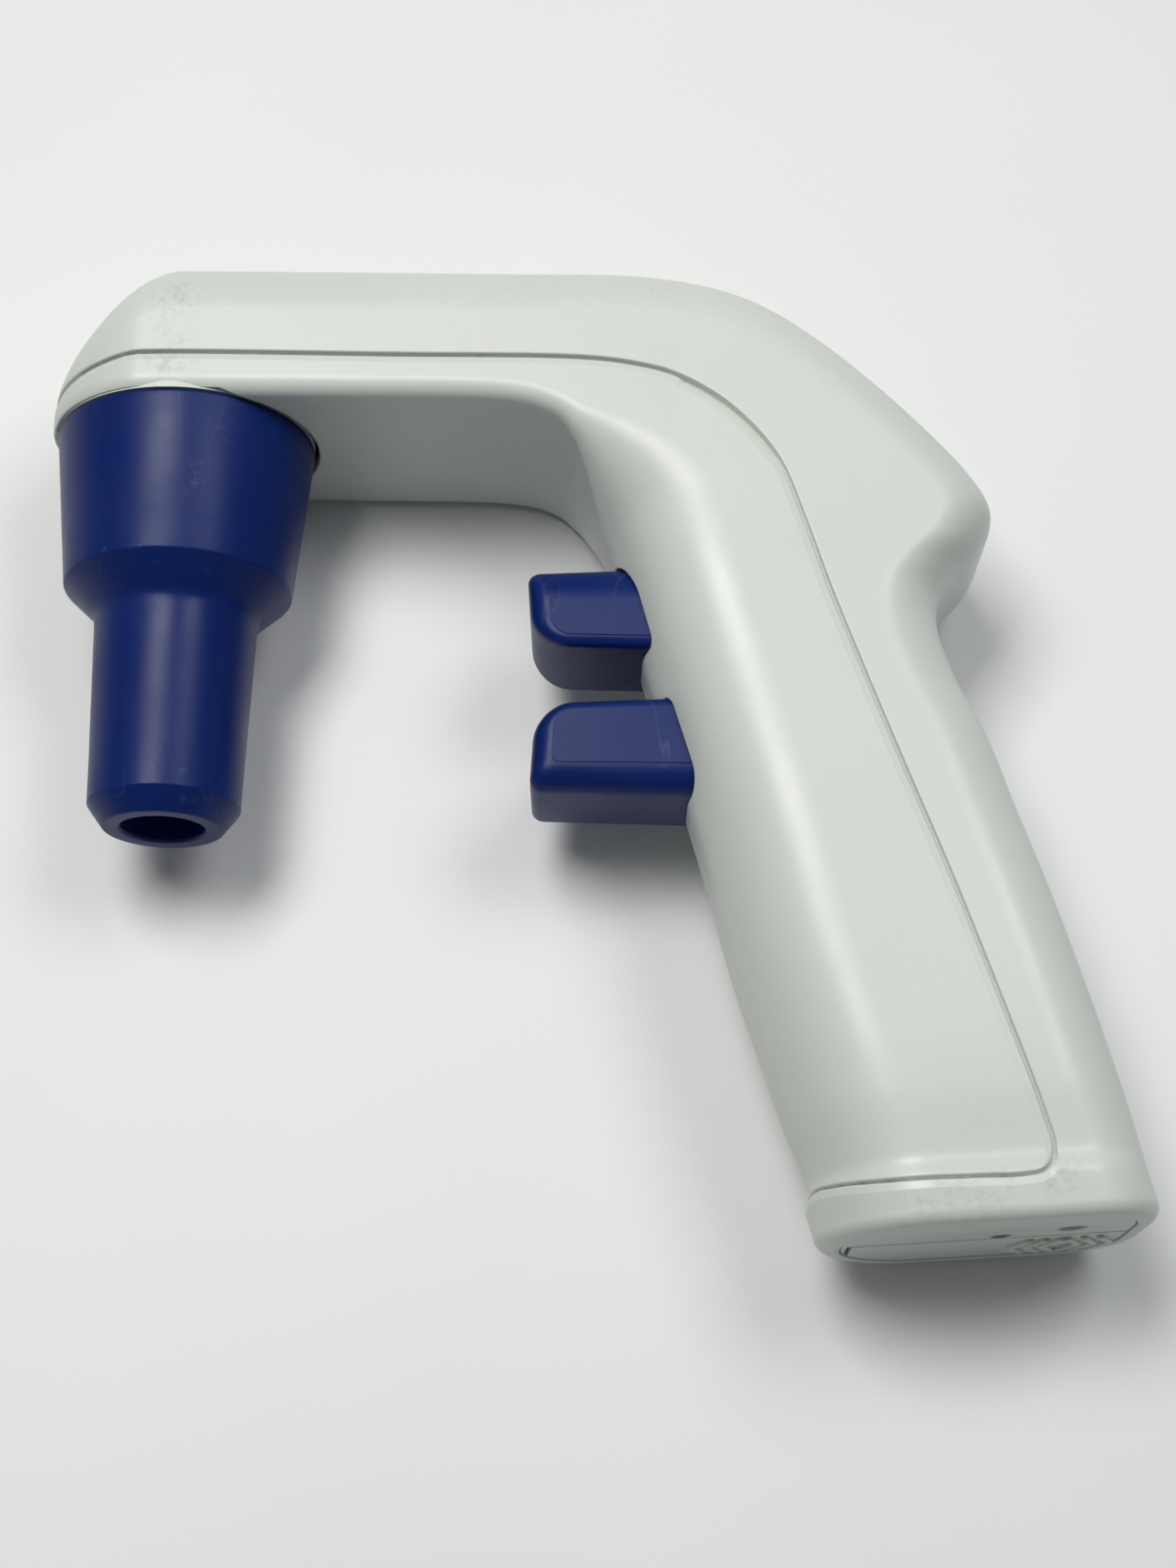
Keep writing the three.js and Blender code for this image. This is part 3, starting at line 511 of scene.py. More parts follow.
def rim_loops():
    """The foot's rounded rim, its flat ring, and the small step down to the end plates."""
    loops = []
    for angle in np.linspace(0, math.pi / 2, 9)[1:]:
        loops.append(foot_loop(FOOT_FILLET * math.sin(angle), FOOT_FILLET * (1 - math.cos(angle))))
    inner_edge = FOOT_FILLET + RIM_WIDTH
    loops.append(foot_loop(FOOT_FILLET, inner_edge - RIM_EDGE))
    loops.append(foot_loop(FOOT_FILLET - RIM_EDGE_MIDDLE, inner_edge - RIM_EDGE_MIDDLE))
    loops.append(foot_loop(FOOT_FILLET - RIM_EDGE, inner_edge))
    loops.append(foot_loop(FOOT_FILLET - RIM_STEP, inner_edge))
    return loops


FLARE = {"height": 3.3, "fade": 3.6, "front": 0.9, "sides": 0.85}
WAIST = {"height": 7, "fade": 9, "front": 0.45, "sides": 0.35}
FLARE_FRONT_REACH = 15
FLARE_SIDE_REACH = 34
FLARE_SIDE_FADE = 14


def foot_flare(points):
    """The foot stands out a little from the grip, most at its front, with a slight waist above it."""
    offset = points[:, :2] - FOOT_FRONT
    along = offset @ FOOT_ALONG
    height = -offset @ FOOT_OUT
    above = smoothstep((height - FLARE["height"]) / FLARE["fade"])
    ring = 1 - above
    waist = above * (1 - smoothstep((height - WAIST["height"]) / WAIST["fade"]))
    front = np.clip(1 - along / FLARE_FRONT_REACH, 0, 1) ** 2
    sides = 1 - smoothstep((along - FLARE_SIDE_REACH) / FLARE_SIDE_FADE)
    slide = front * (WAIST["front"] * waist - FLARE["front"] * ring)
    widen = 1 + sides * (FLARE["sides"] * ring - WAIST["sides"] * waist) / HALF_WIDTH
    moved = points.copy()
    moved[:, 0] += slide
    moved[:, 2] *= widen
    return moved


def merge_points(points, faces, tolerance=1e-4):
    """One point in place of those that coincide, and no faces with fewer than three corners."""
    keys = np.round(points / tolerance).astype(np.int64)
    _, first, index = np.unique(keys, axis=0, return_index=True, return_inverse=True)
    index = index.reshape(-1)
    merged = []
    for face in index[faces]:
        ring = [v for i, v in enumerate(face) if v != face[i - 1]]
        if len(ring) > 2:
            merged.append(ring)
    return points[first], merged


HEAD_ROWS = 26


def housing_grid():
    """The housing's outside as points and faces, before it is cut into two shells."""
    loops = np.array(head_loops(HEAD_ROWS) + body_loops() + rim_loops())
    rows, cols = loops.shape[:2]
    points = foot_flare(loops.reshape(-1, 3))
    points[:, 1] = np.minimum(points[:, 1], BARREL_TOP)
    faces = []
    for row in range(rows - 1):
        start = row * cols
        j = np.arange(cols)
        k = (j + 1) % cols
        faces.append(np.column_stack([start + k, start + cols + k, start + cols + j, start + j]))
    return merge_points(points, np.concatenate(faces))


def vertex_normals(points, faces):
    normals = np.zeros_like(points)
    for size in {len(face) for face in faces}:
        rings = np.array([face for face in faces if len(face) == size])
        corners = points[rings]
        total = np.zeros((len(rings), 3))
        for i in range(1, size - 1):
            total += np.cross(corners[:, i] - corners[:, 0], corners[:, i + 1] - corners[:, 0])
        length = np.sqrt(np.linalg.norm(total, axis=1))
        total /= np.maximum(length, 1e-9)[:, None]
        for i in range(size):
            np.add.at(normals, rings[:, i], total)
    return normals / np.maximum(np.linalg.norm(normals, axis=1), 1e-12)[:, None]


# ---- fields: signed distances in millimetres that say where a surface is kept ----
SEAM_LINE = spline(SEAM, np.linspace(0, len(SEAM) - 1, 260))


def seam_distance(points):
    """Signed distance to the seam, positive on the front shell's side, and the nearest place."""
    flat = points[:, :2]
    best = np.full(len(flat), np.inf)
    sign = np.ones(len(flat))
    place = np.zeros((len(flat), 2))
    for a, b in zip(SEAM_LINE[:-1], SEAM_LINE[1:]):
        edge = b - a
        t = np.clip((flat - a) @ edge / (edge @ edge), 0, 1)
        foot = a + t[:, None] * edge
        away = flat - foot
        distance = np.hypot(away[:, 0], away[:, 1])
        nearer = distance < best
        side = edge[0] * away[:, 1] - edge[1] * away[:, 0]
        best[nearer] = distance[nearer]
        sign[nearer] = np.where(side[nearer] < 0, 1, -1)
        place[nearer] = foot[nearer]
    return best * sign, place


def slot_share(place):
    """1 along the prising slot's stretch of the seam and 0 elsewhere, with short ends."""
    start = np.array(SLOT_FROM)
    end = np.array(SLOT_TO)
    along = (place - start) @ (end - start) / np.hypot(*(end - start))
    length = np.hypot(*(end - start))
    return smoothstep(along / SLOT_FADES[0]) * smoothstep((length - along) / SLOT_FADES[1])


FOOT_SEAM_Y = -56.3
FOOT_SEAM_FADE = 3.0
FAR = 99.0


def foot_share(place):
    """1 on the stretch of the seam above the foot, and 0 on the rest of it."""
    return smoothstep((FOOT_SEAM_Y - place[:, 1]) / FOOT_SEAM_FADE)


def seam_round(share):
    """Width of the rounded edge beside the seam, for a share of 0 to 1."""
    return EDGE_ROUND + (SEAM_ROUND_WIDTH - EDGE_ROUND) * share


def button_section(points, button, grow):
    """Distance outside a button's outline in Y and Z, grown all round."""
    middle = (button["low"] + button["high"]) / 2
    half = (button["high"] - button["low"]) / 2 + grow
    across = points[:, 1] - middle
    radius = np.where(across > 0, button["high_round"], button["low_round"]) + grow
    qa = np.abs(across) - half + radius
    qb = np.abs(points[:, 2]) - BUTTON_HALF_Z - grow + radius
    outside = np.hypot(np.maximum(qa, 0), np.maximum(qb, 0))
    return outside + np.minimum(np.maximum(qa, qb), 0) - radius


def front_parts(points):
    """Distance inside the front shell's cut edges, and how wide the rounding is on the nearest one."""
    distance, place = seam_distance(points)
    seam_width = seam_round(1 - foot_share(place))
    field = distance - GAP - SLOT_WIDTH * slot_share(place) - seam_width
    width = seam_width
    holes = []
    for button in BUTTONS.values():
        hole = button_section(points, button, BUTTON_CLEAR)
        holes.append(np.where(points[:, 0] < BUTTON_HOLE_END_X, hole, FAR))
    radius = np.hypot(points[:, 0] - NOSE_X, points[:, 2])
    holes.append(np.maximum(radius - NOSE_SEAT_RADIUS, points[:, 1] - BARREL_UNDER - SEAT_RECESS))
    for hole in holes:
        inside = hole - EDGE_ROUND
        width = np.where(inside < field, EDGE_ROUND, width)
        field = np.minimum(field, inside)
    return field, width


def rear_parts(points):
    """The same for the rear shell, which only the seam cuts."""
    distance, place = seam_distance(points)
    width = seam_round(foot_share(place))
    return -distance - GAP - width, width


def front_field(points):
    return front_parts(points)[0]


def rear_field(points):
    return rear_parts(points)[0]


def tongue_inner(points):
    return seam_distance(points)[0] + TONGUE_WIDTH


def tongue_outer(points):
    distance, place = seam_distance(points)
    return GAP + TONGUE_OVERLAP + SLOT_WIDTH * slot_share(place) - distance


def gradient(field, points, step=0.02):
    columns = []
    for axis in range(3):
        shift = np.zeros(3)
        shift[axis] = step
        columns.append((field(points + shift) - field(points - shift)) / (2 * step))
    return np.column_stack(columns)


SNAP = 0.16
SMALLEST_SLOPE = 0.2


def clip(points, faces, normals, field):
    """The part of the surface where the field is positive, with points near the cut moved onto it."""
    value = field(points)
    points = points.copy()
    snap = np.abs(value) < SNAP
    if snap.any():
        slope = gradient(field, points[snap])
        slope -= normals[snap] * np.sum(slope * normals[snap], axis=1)[:, None]
        size = np.maximum(np.sum(slope**2, axis=1), SMALLEST_SLOPE)
        points[snap] -= slope * (value[snap] / size)[:, None]
        value[snap] = 0
    new_points = []
    new_normals = []
    cuts = {}

    def cut(a, b):
        key = (min(a, b), max(a, b))
        if key not in cuts:
            t = value[a] / (value[a] - value[b])
            cuts[key] = len(points) + len(new_points)
            new_points.append(points[a] + t * (points[b] - points[a]))
            blend = normals[a] + t * (normals[b] - normals[a])
            new_normals.append(blend / np.linalg.norm(blend))
        return cuts[key]

    kept = []
    for face in faces:
        levels = value[face]
        if levels.max() <= 0:
            continue
        if levels.min() >= 0:
            kept.append(list(face))
            continue
        ring = []
        for i, vertex in enumerate(face):
            before = face[i - 1]
            if value[before] * value[vertex] < 0:
                ring.append(cut(before, vertex))
            if value[vertex] >= 0:
                ring.append(vertex)
        if len(ring) > 2:
            kept.append(ring)
    all_points = np.vstack([points, np.array(new_points).reshape(-1, 3)])
    all_normals = np.vstack([normals, np.array(new_normals).reshape(-1, 3)])
    used = np.unique(np.concatenate([np.array(face) for face in kept]))
    renumber = np.full(len(all_points), -1)
    renumber[used] = np.arange(len(used))
    return all_points[used], [[int(renumber[v]) for v in face] for face in kept], all_normals[used]


def border_edges(faces):
    """Directed edges that belong to only one face."""
    edges = {}
    for face in faces:
        for i, vertex in enumerate(face):
            edges[(face[i - 1], vertex)] = edges.get((face[i - 1], vertex), 0) + 1
    return [edge for edge in edges if (edge[1], edge[0]) not in edges]


CUT_TOLERANCE = 0.1
QUARTER = np.radians(np.linspace(0, 90, 10))
# Cut edges go down from the surface in shares of their width and depth: narrow ones round over, and
# the wide one beside the seam has a crisp start, a shallow slope and a small rounding at its end.
ROUND_PROFILE = np.column_stack([np.sin(QUARTER), 1 - np.cos(QUARTER)])
LIP_PROFILE = np.array([
    (0, 0), (0.03, 0.02), (0.06, 0.06), (0.1, 0.11), (0.3, 0.27), (0.6, 0.5), (0.85, 0.7), (0.94, 0.79),
    (0.985, 0.9), (1, 1),
])


def thick_shell(points, faces, normals, field, wall, widths):
    """Closes a clipped surface into a shell: rounded cut edges, the cut wall and the inside."""
    edges = border_edges(faces)
    rim = np.unique(np.array(edges))
    here = points[rim]
    up = normals[rim]
    slope = gradient(field, here)
    slope -= up * np.sum(slope * up, axis=1)[:, None]
    out = -slope / np.maximum(np.linalg.norm(slope, axis=1), 1e-9)[:, None]
    at_cut = np.abs(field(here)) < CUT_TOLERANCE
    width = np.where(at_cut, widths(here), 0)
    deep = np.minimum(width, SEAM_ROUND_DEPTH)
    lip = np.clip((width - EDGE_ROUND) / (SEAM_ROUND_WIDTH - EDGE_ROUND), 0, 1)[:, None, None]
    profile = lip * LIP_PROFILE + (1 - lip) * ROUND_PROFILE
    across = profile[:, :, 0] * width[:, None]
    down = profile[:, :, 1] * deep[:, None]
    across_step = np.gradient(across, axis=1) + 1e-6
    down_step = np.gradient(down, axis=1)
    all_points = [points]
    all_normals = [normals]
    layers = [dict(zip(rim.tolist(), rim.tolist()))]
    total = len(points)
    for i in range(1, len(QUARTER)):
        all_points.append(here + out * across[:, i, None] - up * down[:, i, None])
        blend = up * across_step[:, i, None] + out * down_step[:, i, None]
        all_normals.append(blend / np.maximum(np.linalg.norm(blend, axis=1), 1e-12)[:, None])
        layers.append(dict(zip(rim.tolist(), range(total, total + len(rim)))))
        total += len(rim)
    for drop in (0, wall):
        all_points.append(here + out * across[:, -1, None] - up * (down[:, -1, None] + drop))
        all_normals.append(out)
        layers.append(dict(zip(rim.tolist(), range(total, total + len(rim)))))
        total += len(rim)
    inner_start = total
    all_points.append(points - normals * wall)
    all_normals.append(-normals)
    layers.append({int(v): inner_start + int(v) for v in rim})
    all_faces = [list(face) for face in faces]
    all_faces += [[inner_start + v for v in reversed(face)] for face in faces]
    for a, b in edges:
        for first, second in zip(layers[:-1], layers[1:]):
            all_faces.append([first[b], first[a], second[a], second[b]])
    return np.vstack(all_points), all_faces, np.vstack(all_normals)


# ---- meshes ----
def make_mesh(name, points, faces, material, normals=None, sharp_angle=None):
    mesh = bpy.data.meshes.new(name)
    mesh.from_pydata(placed(points).tolist(), [], [list(map(int, face)) for face in faces])
    mesh.materials.append(material)
    mesh.polygons.foreach_set("use_smooth", [True] * len(mesh.polygons))
    if sharp_angle is not None:
        mesh.set_sharp_from_angle(angle=math.radians(sharp_angle))
    mesh.update()
    if normals is not None:
        mesh.normals_split_custom_set_from_vertices(normals.tolist())
    piece = bpy.data.objects.new(name, mesh)
    bpy.context.scene.collection.objects.link(piece)
    return piece


def finish_piece(piece, body, slot, *nodes):
    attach(piece, body)
    if nodes:
        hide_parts(*nodes)


def add_housing(material):
    points, faces = housing_grid()
    normals = vertex_normals(points, faces)
    for name, field, parts in (
        ("front_shell", front_field, front_parts),
        ("rear_shell", rear_field, rear_parts),
    ):
        cut = clip(points, faces, normals, field)
        shell = thick_shell(*cut, field, WALL, lambda here, parts=parts: parts(here)[1])
        piece = make_mesh(f"{name}_fine", shell[0], shell[1], material, shell[2])
        finish_piece(piece, "housing", "shell_plastic", name)
    add_tongue(points, faces, normals, material)
    low = BARREL_UNDER + SEAT_RECESS
    high = low + SEAT_RING_THICKNESS
    seat = [(NOSE_HOLE, low), (SEAT_RING_RADIUS, low), (SEAT_RING_RADIUS, high), (NOSE_HOLE, high)]
    finish_piece(turned_mesh("nose_seat", seat, material), "housing", "shell_plastic")


def no_rounding(points):
    return np.zeros(len(points))


def add_tongue(points, faces, normals, material):
    """The rear shell's edge that the front shell closes over, seen at the bottom of the seam."""
    strip = clip(points, faces, normals, tongue_inner)
    strip = clip(*strip, tongue_outer)
    depth = TONGUE_DEPTH * (1 + SLOT_EXTRA_DEPTH * slot_share(seam_distance(strip[0])[1]))
    lowered = strip[0] - strip[2] * depth[:, None]
    tongue = thick_shell(lowered, strip[1], strip[2], tongue_outer, TONGUE_WALL, no_rounding)
    piece = make_mesh("seam_tongue", tongue[0], tongue[1], material, tongue[2])
    finish_piece(piece, "housing", "shell_plastic")


def arc(centre, radius, start, end, steps):
    angles = np.radians(np.linspace(start, end, steps + 1))
    return [(centre[0] + radius * math.cos(a), centre[1] + radius * math.sin(a)) for a in angles]


TURNED_SHARP = 35
FLAT_SHARP = 32


def turned_mesh(name, profile, material, sides=160):
    """A turned piece round the nose axis. The profile is closed, as (radius, y)."""
    points = []
    faces = []
    count = len(profile)
    for i in range(sides):
        angle = 2 * math.pi * i / sides
        for radius, y in profile:
            points.append((NOSE_X + radius * math.sin(angle), y, radius * math.cos(angle)))
    for i in range(sides):
        here = i * count
        after = ((i + 1) % sides) * count
        for j in range(count):
            k = (j + 1) % count
            faces.append((here + j, here + k, after + k, after + j))
    return make_mesh(name, np.array(points), faces, material, sharp_angle=TURNED_SHARP)


MOUTH_RADIUS = 6.05
MOUTH_RIM_Y = -7.0
LIP_ROUND = 0.6
CONE_BORE = 9.6
CONE_FLOOR_Y = -2.9
CONE_RIM_Y = 53.8


def add_nose_cone(material):
    # the mouth and its rounded lip
    profile = [(MOUTH_RADIUS, CONE_FLOOR_Y), (MOUTH_RADIUS, MOUTH_RIM_Y)]
    profile += arc((MOUTH_RADIUS + LIP_ROUND, MOUTH_RIM_Y), LIP_ROUND, 180, 270, 5)
    profile += arc((8.4, MOUTH_RIM_Y), LIP_ROUND, 270, 322, 4)
    profile += arc((10.5, -4.1), LIP_ROUND, -38, -2, 4)
    # the narrow lower part, and the hollow turn under the shoulder
    profile += [(11.25, 2), (11.95, 23.0)]
    profile += [(12.05, 24.2), (12.3, 25.0), (12.75, 25.6)]
    # the shoulder and the wide upper part, up to the rounded rim
    profile += arc((16.25, 29.95), 0.7, -45, -8, 5)
    profile += [(17.15, 32), (19.25, 52.4)]
    profile += arc((18.85, CONE_RIM_Y - 0.5), 0.5, -8, 90, 5)
    # the inside, from the rim back down to the mouth
    profile += [(15.6, CONE_RIM_Y), (15.2, CONE_RIM_Y - 0.4), (15.1, 33.2)]
    profile += [(CONE_BORE, 26.5), (CONE_BORE, CONE_FLOOR_Y)]
    cone = turned_mesh("nose_cone_fine", profile, material)
    finish_piece(cone, "nose_cone", "blue_plastic", "nose_cone")


ADAPTER_RADIUS = 9.1
ADAPTER_TOP_Y = 23.8
ADAPTER_ROUND = 0.4


def add_adapter(material):
    # the funnel that takes a pipette, and its soft lip
    profile = [(3, 6), (5.0, -1.0)]
    profile += arc((5.9, -1.7), 0.8, 160, 270, 5)
    # the outside, which sits in the cone's bore
    profile += [(ADAPTER_RADIUS - ADAPTER_ROUND, -2.5), (ADAPTER_RADIUS, -2.5 + ADAPTER_ROUND)]
    profile.append((ADAPTER_RADIUS, ADAPTER_TOP_Y - ADAPTER_ROUND))
    profile.append((ADAPTER_RADIUS - ADAPTER_ROUND, ADAPTER_TOP_Y))
    # the bore above the pipette
    profile += [(3.9, ADAPTER_TOP_Y), (3.6, 23.5), (3.6, 18.4), (3, 17.4)]
    adapter = turned_mesh("pipette_adapter_fine", profile, material, sides=96)
    finish_piece(adapter, "nose_core", "silicone", "pipette_adapter")


# ---- buttons ----
def rounded_outline(left, right, low, high, radii, steps=8):
    """Points round a rectangle. The radii are for left low, right low, right high and left high."""
    a, b, c, d = radii
    return (
        arc((left + a, low + a), a, 180, 270, steps)
        + arc((right - b, low + b), b, 270, 360, steps)
        + arc((right - c, high - c), c, 0, 90, steps)
        + arc((left + d, high - d), d, 90, 180, steps)
    )


FRONT_ROUND = 3.0
PANEL_RISE = 0.16
PANEL_EDGE = 0.05
# Radii of a button's front corners in its outline, and how much the fillets take off each.
BIG_CORNER = 5.4
BIG_CORNER_DRAWN = 2.6
SMALL_CORNER = 1.9
SMALL_CORNER_DRAWN = 0.9
REAR_CORNER = 0.4
# The buttons' long edges are not quite parallel: their slopes, and the x where they have no effect.
HIGH_SLOPE = 0.05
LOW_SLOPE = -0.02
SLOPE_PIVOT_X = 4


def fillet_inset(depth, radius):
    """How far a fillet of this radius has drawn in at a depth of 0 to radius into it."""
    if depth <= 0:
        return 0
    return radius - math.sqrt(max(radius**2 - depth**2, 0))


def button_heights(button):
    """Heights above the middle plane that give every fillet even steps."""
    shoulder = BUTTON_HALF_Z - PANEL_RISE
    heights = []
    for radius in {FRONT_ROUND, button["low_round"], button["high_round"]}:
        for angle in np.linspace(0, math.pi / 2, 9):
            heights.append(shoulder - radius + radius * math.sin(angle))
    return sorted(set(np.round(heights, 3)))


def button_outline(button, height, shrink=0.0):
    """The side outline at a height above the middle plane, drawn in by the fillets round the panel."""
    shoulder = BUTTON_HALF_Z - PANEL_RISE
    inset = {}
    for radius in (FRONT_ROUND, button["low_round"], button["high_round"]):
        inset[radius] = fillet_inset(min(height, shoulder) - shoulder + radius, radius) + shrink
    left = button["front"] + inset[FRONT_ROUND]
    low = button["low"] + inset[button["low_round"]]
    high = button["high"] - inset[button["high_round"]]
    drawn = inset[FRONT_ROUND] / FRONT_ROUND
    big = BIG_CORNER - BIG_CORNER_DRAWN * drawn
    small = SMALL_CORNER - SMALL_CORNER_DRAWN * drawn
    at_low = button["corner"] == "low"
    low_corner, high_corner = (big, small) if at_low else (small, big)
    radii = (low_corner, REAR_CORNER, REAR_CORNER, high_corner)
    points = []
    for x, y in rounded_outline(left, button["rear"], low, high, radii):
        share = (y - button["low"]) / (button["high"] - button["low"])
        forward = (button["rear"] - x) / (button["rear"] - button["front"])
        toward_gap = 1 - share if at_low else share
        back = button["set_back"] * toward_gap * forward
        slope = HIGH_SLOPE * share + LOW_SLOPE * (1 - share)
        points.append((x + back, y + slope * (x - SLOPE_PIVOT_X)))
    return points


def button_layers(button):
    """Outlines from one side panel to the other; each panel stands slightly proud of the fillets."""
    shoulder = BUTTON_HALF_Z - PANEL_RISE
    upper = []
    for height in button_heights(button):
        upper.append((height, button_outline(button, height)))
    upper.append((BUTTON_HALF_Z - PANEL_EDGE, button_outline(button, shoulder)))
    upper.append((BUTTON_HALF_Z, button_outline(button, shoulder, PANEL_EDGE)))
    layers = []
    for height, outline in reversed(upper):
        layers.append([(x, y, -height) for x, y in outline])
    for height, outline in upper:
        layers.append([(x, y, height) for x, y in outline])
    return np.array(layers)


def add_button(name, button, material):
    layers = button_layers(button)
    rows, count = layers.shape[:2]
    faces = []
    for row in range(rows - 1):
        for j in range(count):
            k = (j + 1) % count
            here = row * count
            after = here + count
            faces.append((here + j, here + k, after + k, after + j))
    faces.append(list(reversed(range(count))))
    faces.append(list(range((rows - 1) * count, rows * count)))
    piece = make_mesh(f"{name}_button_cap", layers.reshape(-1, 3), faces, material, sharp_angle=FLAT_SHARP)
    finish_piece(piece, f"{name}_button", "blue_plastic", f"{name}_button")


# ---- foot: fixed end plate and battery lid ----
def foot_matrix(height):
    """From (u, v, w) on the foot's end face, in millimetres, to the row frame in metres."""
    origin = FOOT_FRONT + FOOT_OUT * (FOOT_FILLET + height)
    matrix = Matrix((
        (FOOT_ALONG[0], 0, FOOT_OUT[0], origin[0]),
        (FOOT_ALONG[1], 0, FOOT_OUT[1], origin[1]),
        (0, 1, 0, 0),
        (0, 0, 0, 1),
    ))
    return Matrix.Translation(SHIFT) @ Matrix.Scale(MM, 4) @ matrix


def plate_piece(name, outlines, height, thickness, edge, material):
    """A flat plate with softened edges. The first outline is its border and the rest are holes."""
    curve = bpy.data.curves.new(name, "CURVE")
    curve.dimensions = "2D"
    curve.fill_mode = "BOTH"
    curve.extrude = thickness / 2 - edge
    curve.bevel_depth = edge
    curve.bevel_resolution = 2
    curve.offset = -edge
    for outline in outlines:
        run = curve.splines.new("POLY")
        run.points.add(len(outline) - 1)
        for point, (u, v) in zip(run.points, outline):
            point.co = (u, v, 0, 1)
        run.use_cyclic_u = True
    holder = bpy.data.objects.new(f"{name}_outline", curve)
    mesh = bpy.data.meshes.new_from_object(holder)
    bpy.data.objects.remove(holder)
    mesh.transform(foot_matrix(height - thickness / 2))
    mesh.name = name
    mesh.materials.clear()
    mesh.materials.append(material)
    weld_mesh(mesh)
    mesh.polygons.foreach_set("use_smooth", [True] * len(mesh.polygons))
    mesh.set_sharp_from_angle(angle=math.radians(FLAT_SHARP))
    piece = bpy.data.objects.new(name, mesh)
    bpy.context.scene.collection.objects.link(piece)
    return piece


def weld_mesh(mesh):
    work = bmesh.new()
    work.from_mesh(mesh)
    bmesh.ops.remove_doubles(work, verts=work.verts, dist=1e-6)
    bmesh.ops.recalc_face_normals(work, faces=work.faces)
    work.to_mesh(mesh)
    work.free()


LID_FRONT = 3.9
LID_GAP = 0.7
PLATE_CLEAR = 0.2
PLATE_THICKNESS = 1.5
PLATE_EDGE = 0.12


def plate_outline():
    """The oval inside the foot's rim, as (u, v), from its rear end over v > 0 and back."""
    loop = foot_flare(foot_loop(FOOT_FILLET, FOOT_FILLET + RIM_WIDTH + PLATE_CLEAR))
    offset = loop[:, :2] - FOOT_FRONT
    return np.column_stack([offset @ FOOT_ALONG, loop[:, 2]])


def fixed_outline(oval):
    """The fixed floor: the half with v > 0, and the part in front of the lid."""
    edge = LID_GAP / 2
    front = LID_FRONT - edge
    upper = oval[oval[:, 1] > edge]
    lower = oval[(oval[:, 1] <= edge) & (oval[:, 0] < front)]
    side = lower_side(oval)
    lower_v = np.interp(front, side[:, 0], side[:, 1])
    start = (oval[:, 0].max(), edge)
    return [start, *map(tuple, upper), *map(tuple, lower), (front, lower_v), (front, edge)]


def lower_side(oval):
    """The oval's v < 0 side, in order of rising u."""
    side = oval[oval[:, 1] < 0]
    return side[np.argsort(side[:, 0])]


def lid_outline(oval):
    edge = LID_GAP / 2
    front = LID_FRONT + edge
    side = lower_side(oval)
    start_v = np.interp(front, side[:, 0], side[:, 1])
    kept = oval[(oval[:, 1] < -edge) & (oval[:, 0] > front)]
    rear = (oval[:, 0].max(), -edge)
    return [(front, start_v), *map(tuple, kept), rear, (front, -edge)]


def circle(u, v, radius, steps=32):
    return arc((u, v), radius, 0, 360, steps)[:-1]


CHEVRON = {"half_height": 5, "depth": 2.2, "width": 1.0, "centre": -7.2, "pitch": 2.25}
ARROWS_PER_GROUP = 3
# Where each group of arrows starts, and which way it points.
ARROW_GROUPS = [(26.4, 1), (37, -1)]
ARROW = {"rise": 0.25, "thickness": 0.8, "edge": 0.14}
# Each as (u, v, radius).
CHARGE_HOLE = (24.4, 1.75, 1.5)
DIMPLE = (33.6, 5.1, 2.0)
CUP = {"overlap": 0.3, "depth": 0.5, "thickness": 0.8, "edge": 0.1}


def chevron(u, pointing):
    centre = CHEVRON["centre"]
    reach = CHEVRON["half_height"]
    arm = pointing * CHEVRON["depth"]
    band = pointing * CHEVRON["width"]
    return [
        (u, centre), (u + arm, centre + reach), (u + arm + band, centre + reach),
        (u + band, centre), (u + arm + band, centre - reach), (u + arm, centre - reach),
    ]


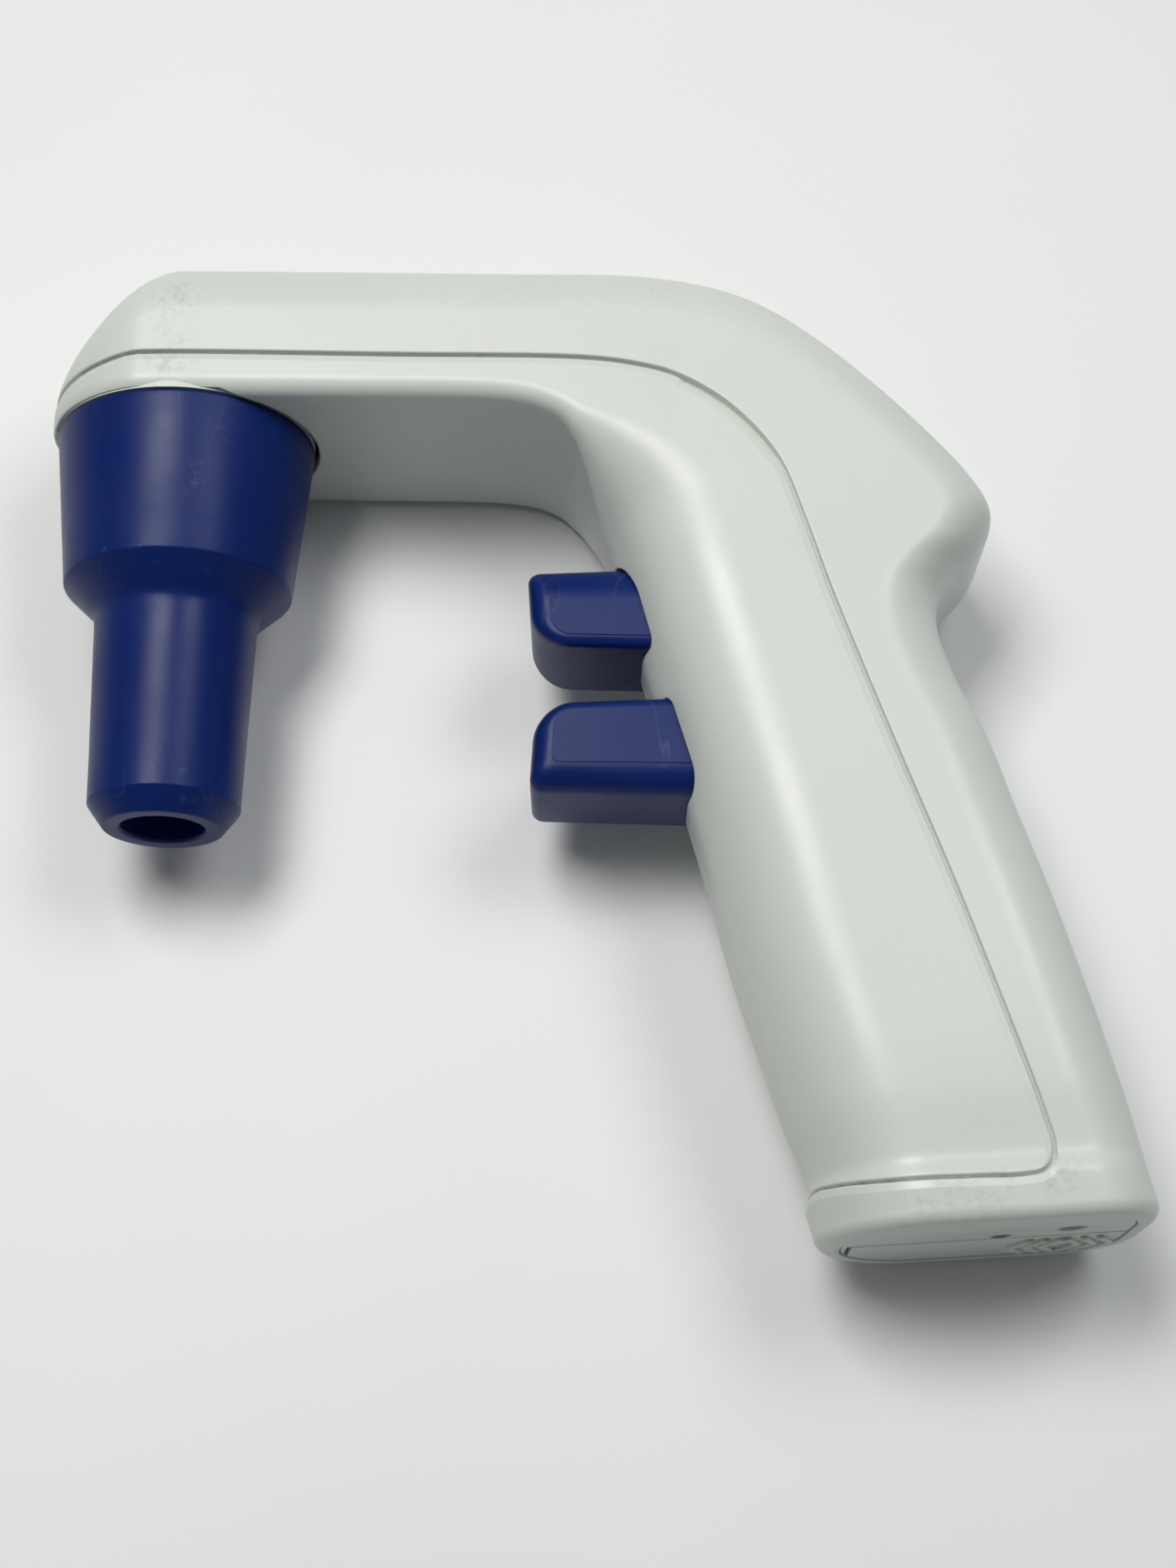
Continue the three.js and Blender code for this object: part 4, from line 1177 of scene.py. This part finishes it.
def add_foot(material):
    oval = plate_outline()
    fixed = fixed_outline(oval)
    lid = lid_outline(oval)
    holes = [circle(*CHARGE_HOLE), circle(*DIMPLE)]
    flat = (-FLOOR_DEPTH, PLATE_THICKNESS, PLATE_EDGE, material)
    plate = plate_piece("foot_plate", [fixed, *holes], *flat)
    finish_piece(plate, "housing", "shell_plastic")
    disc = circle(DIMPLE[0], DIMPLE[1], DIMPLE[2] + CUP["overlap"])
    cup_height = -FLOOR_DEPTH - CUP["depth"]
    cup = plate_piece("foot_dimple", [disc], cup_height, CUP["thickness"], CUP["edge"], material)
    finish_piece(cup, "housing", "shell_plastic")
    cover = plate_piece("battery_lid_fine", [lid], *flat)
    finish_piece(cover, "battery_lid", "shell_plastic", "battery_lid")
    for i in range(ARROWS_PER_GROUP):
        for group, (u, pointing) in enumerate(ARROW_GROUPS):
            name = f"lid_arrow_{group + 1}_{i + 1}"
            outline = chevron(u + i * CHEVRON["pitch"], pointing)
            ridge = plate_piece(name, [outline], ARROW["rise"], ARROW["thickness"], ARROW["edge"], material)
            finish_piece(ridge, "battery_lid", "shell_plastic")


# ---- carried-over CAD nodes ----
def finish_cad_nodes(materials):
    slots = {entry["node"]: entry["material_slot"] for entry in frame["record"]["subparts"]}
    for name, node in frame["nodes"].items():
        material = materials.get(slots.get(name))
        if material is None:
            continue
        node.data.materials.clear()
        node.data.materials.append(material)


def cad_materials():
    """A material for each slot of the record."""
    return {
        "shell_plastic": shell_material(),
        "blue_plastic": blue_material(),
        "silicone": soft_material("silicone", (0.022, 0.023, 0.027), 0.55, 700),
        "white_plastic": soft_material("white_plastic", (0.72, 0.72, 0.70), 0.42),
        "membrane": soft_material("membrane", (0.85, 0.85, 0.83), 0.85, 2500, 0.3),
        "valve_resin": soft_material("valve_resin", (0.55, 0.58, 0.60), 0.3),
        "black_plastic": soft_material("black_plastic", (0.014, 0.014, 0.016), 0.45),
        "steel": metal_material("steel", (0.62, 0.63, 0.65), 0.28),
        "brass": metal_material("brass", (0.60, 0.42, 0.15), 0.3),
        "hose": soft_material("hose", (0.62, 0.64, 0.61), 0.38),
        "cell_wrap": soft_material("cell_wrap", (0.04, 0.22, 0.09), 0.32),
        "foam": soft_material("foam", (0.085, 0.09, 0.10), 0.95, 1500, 0.6),
        "board": soft_material("board", (0.01, 0.09, 0.04), 0.4),
        "red_lead": soft_material("red_lead", (0.35, 0.015, 0.01), 0.4),
        "black_lead": soft_material("black_lead", (0.008, 0.008, 0.008), 0.4),
    }


def main():
    add_camera()
    add_studio()
    add_floor()
    materials = cad_materials()
    finish_cad_nodes(materials)
    add_housing(materials["shell_plastic"])
    add_nose_cone(materials["blue_plastic"])
    add_adapter(materials["silicone"])
    for name, button in BUTTONS.items():
        add_button(name, button, materials["blue_plastic"])
    add_foot(materials["shell_plastic"])


main()
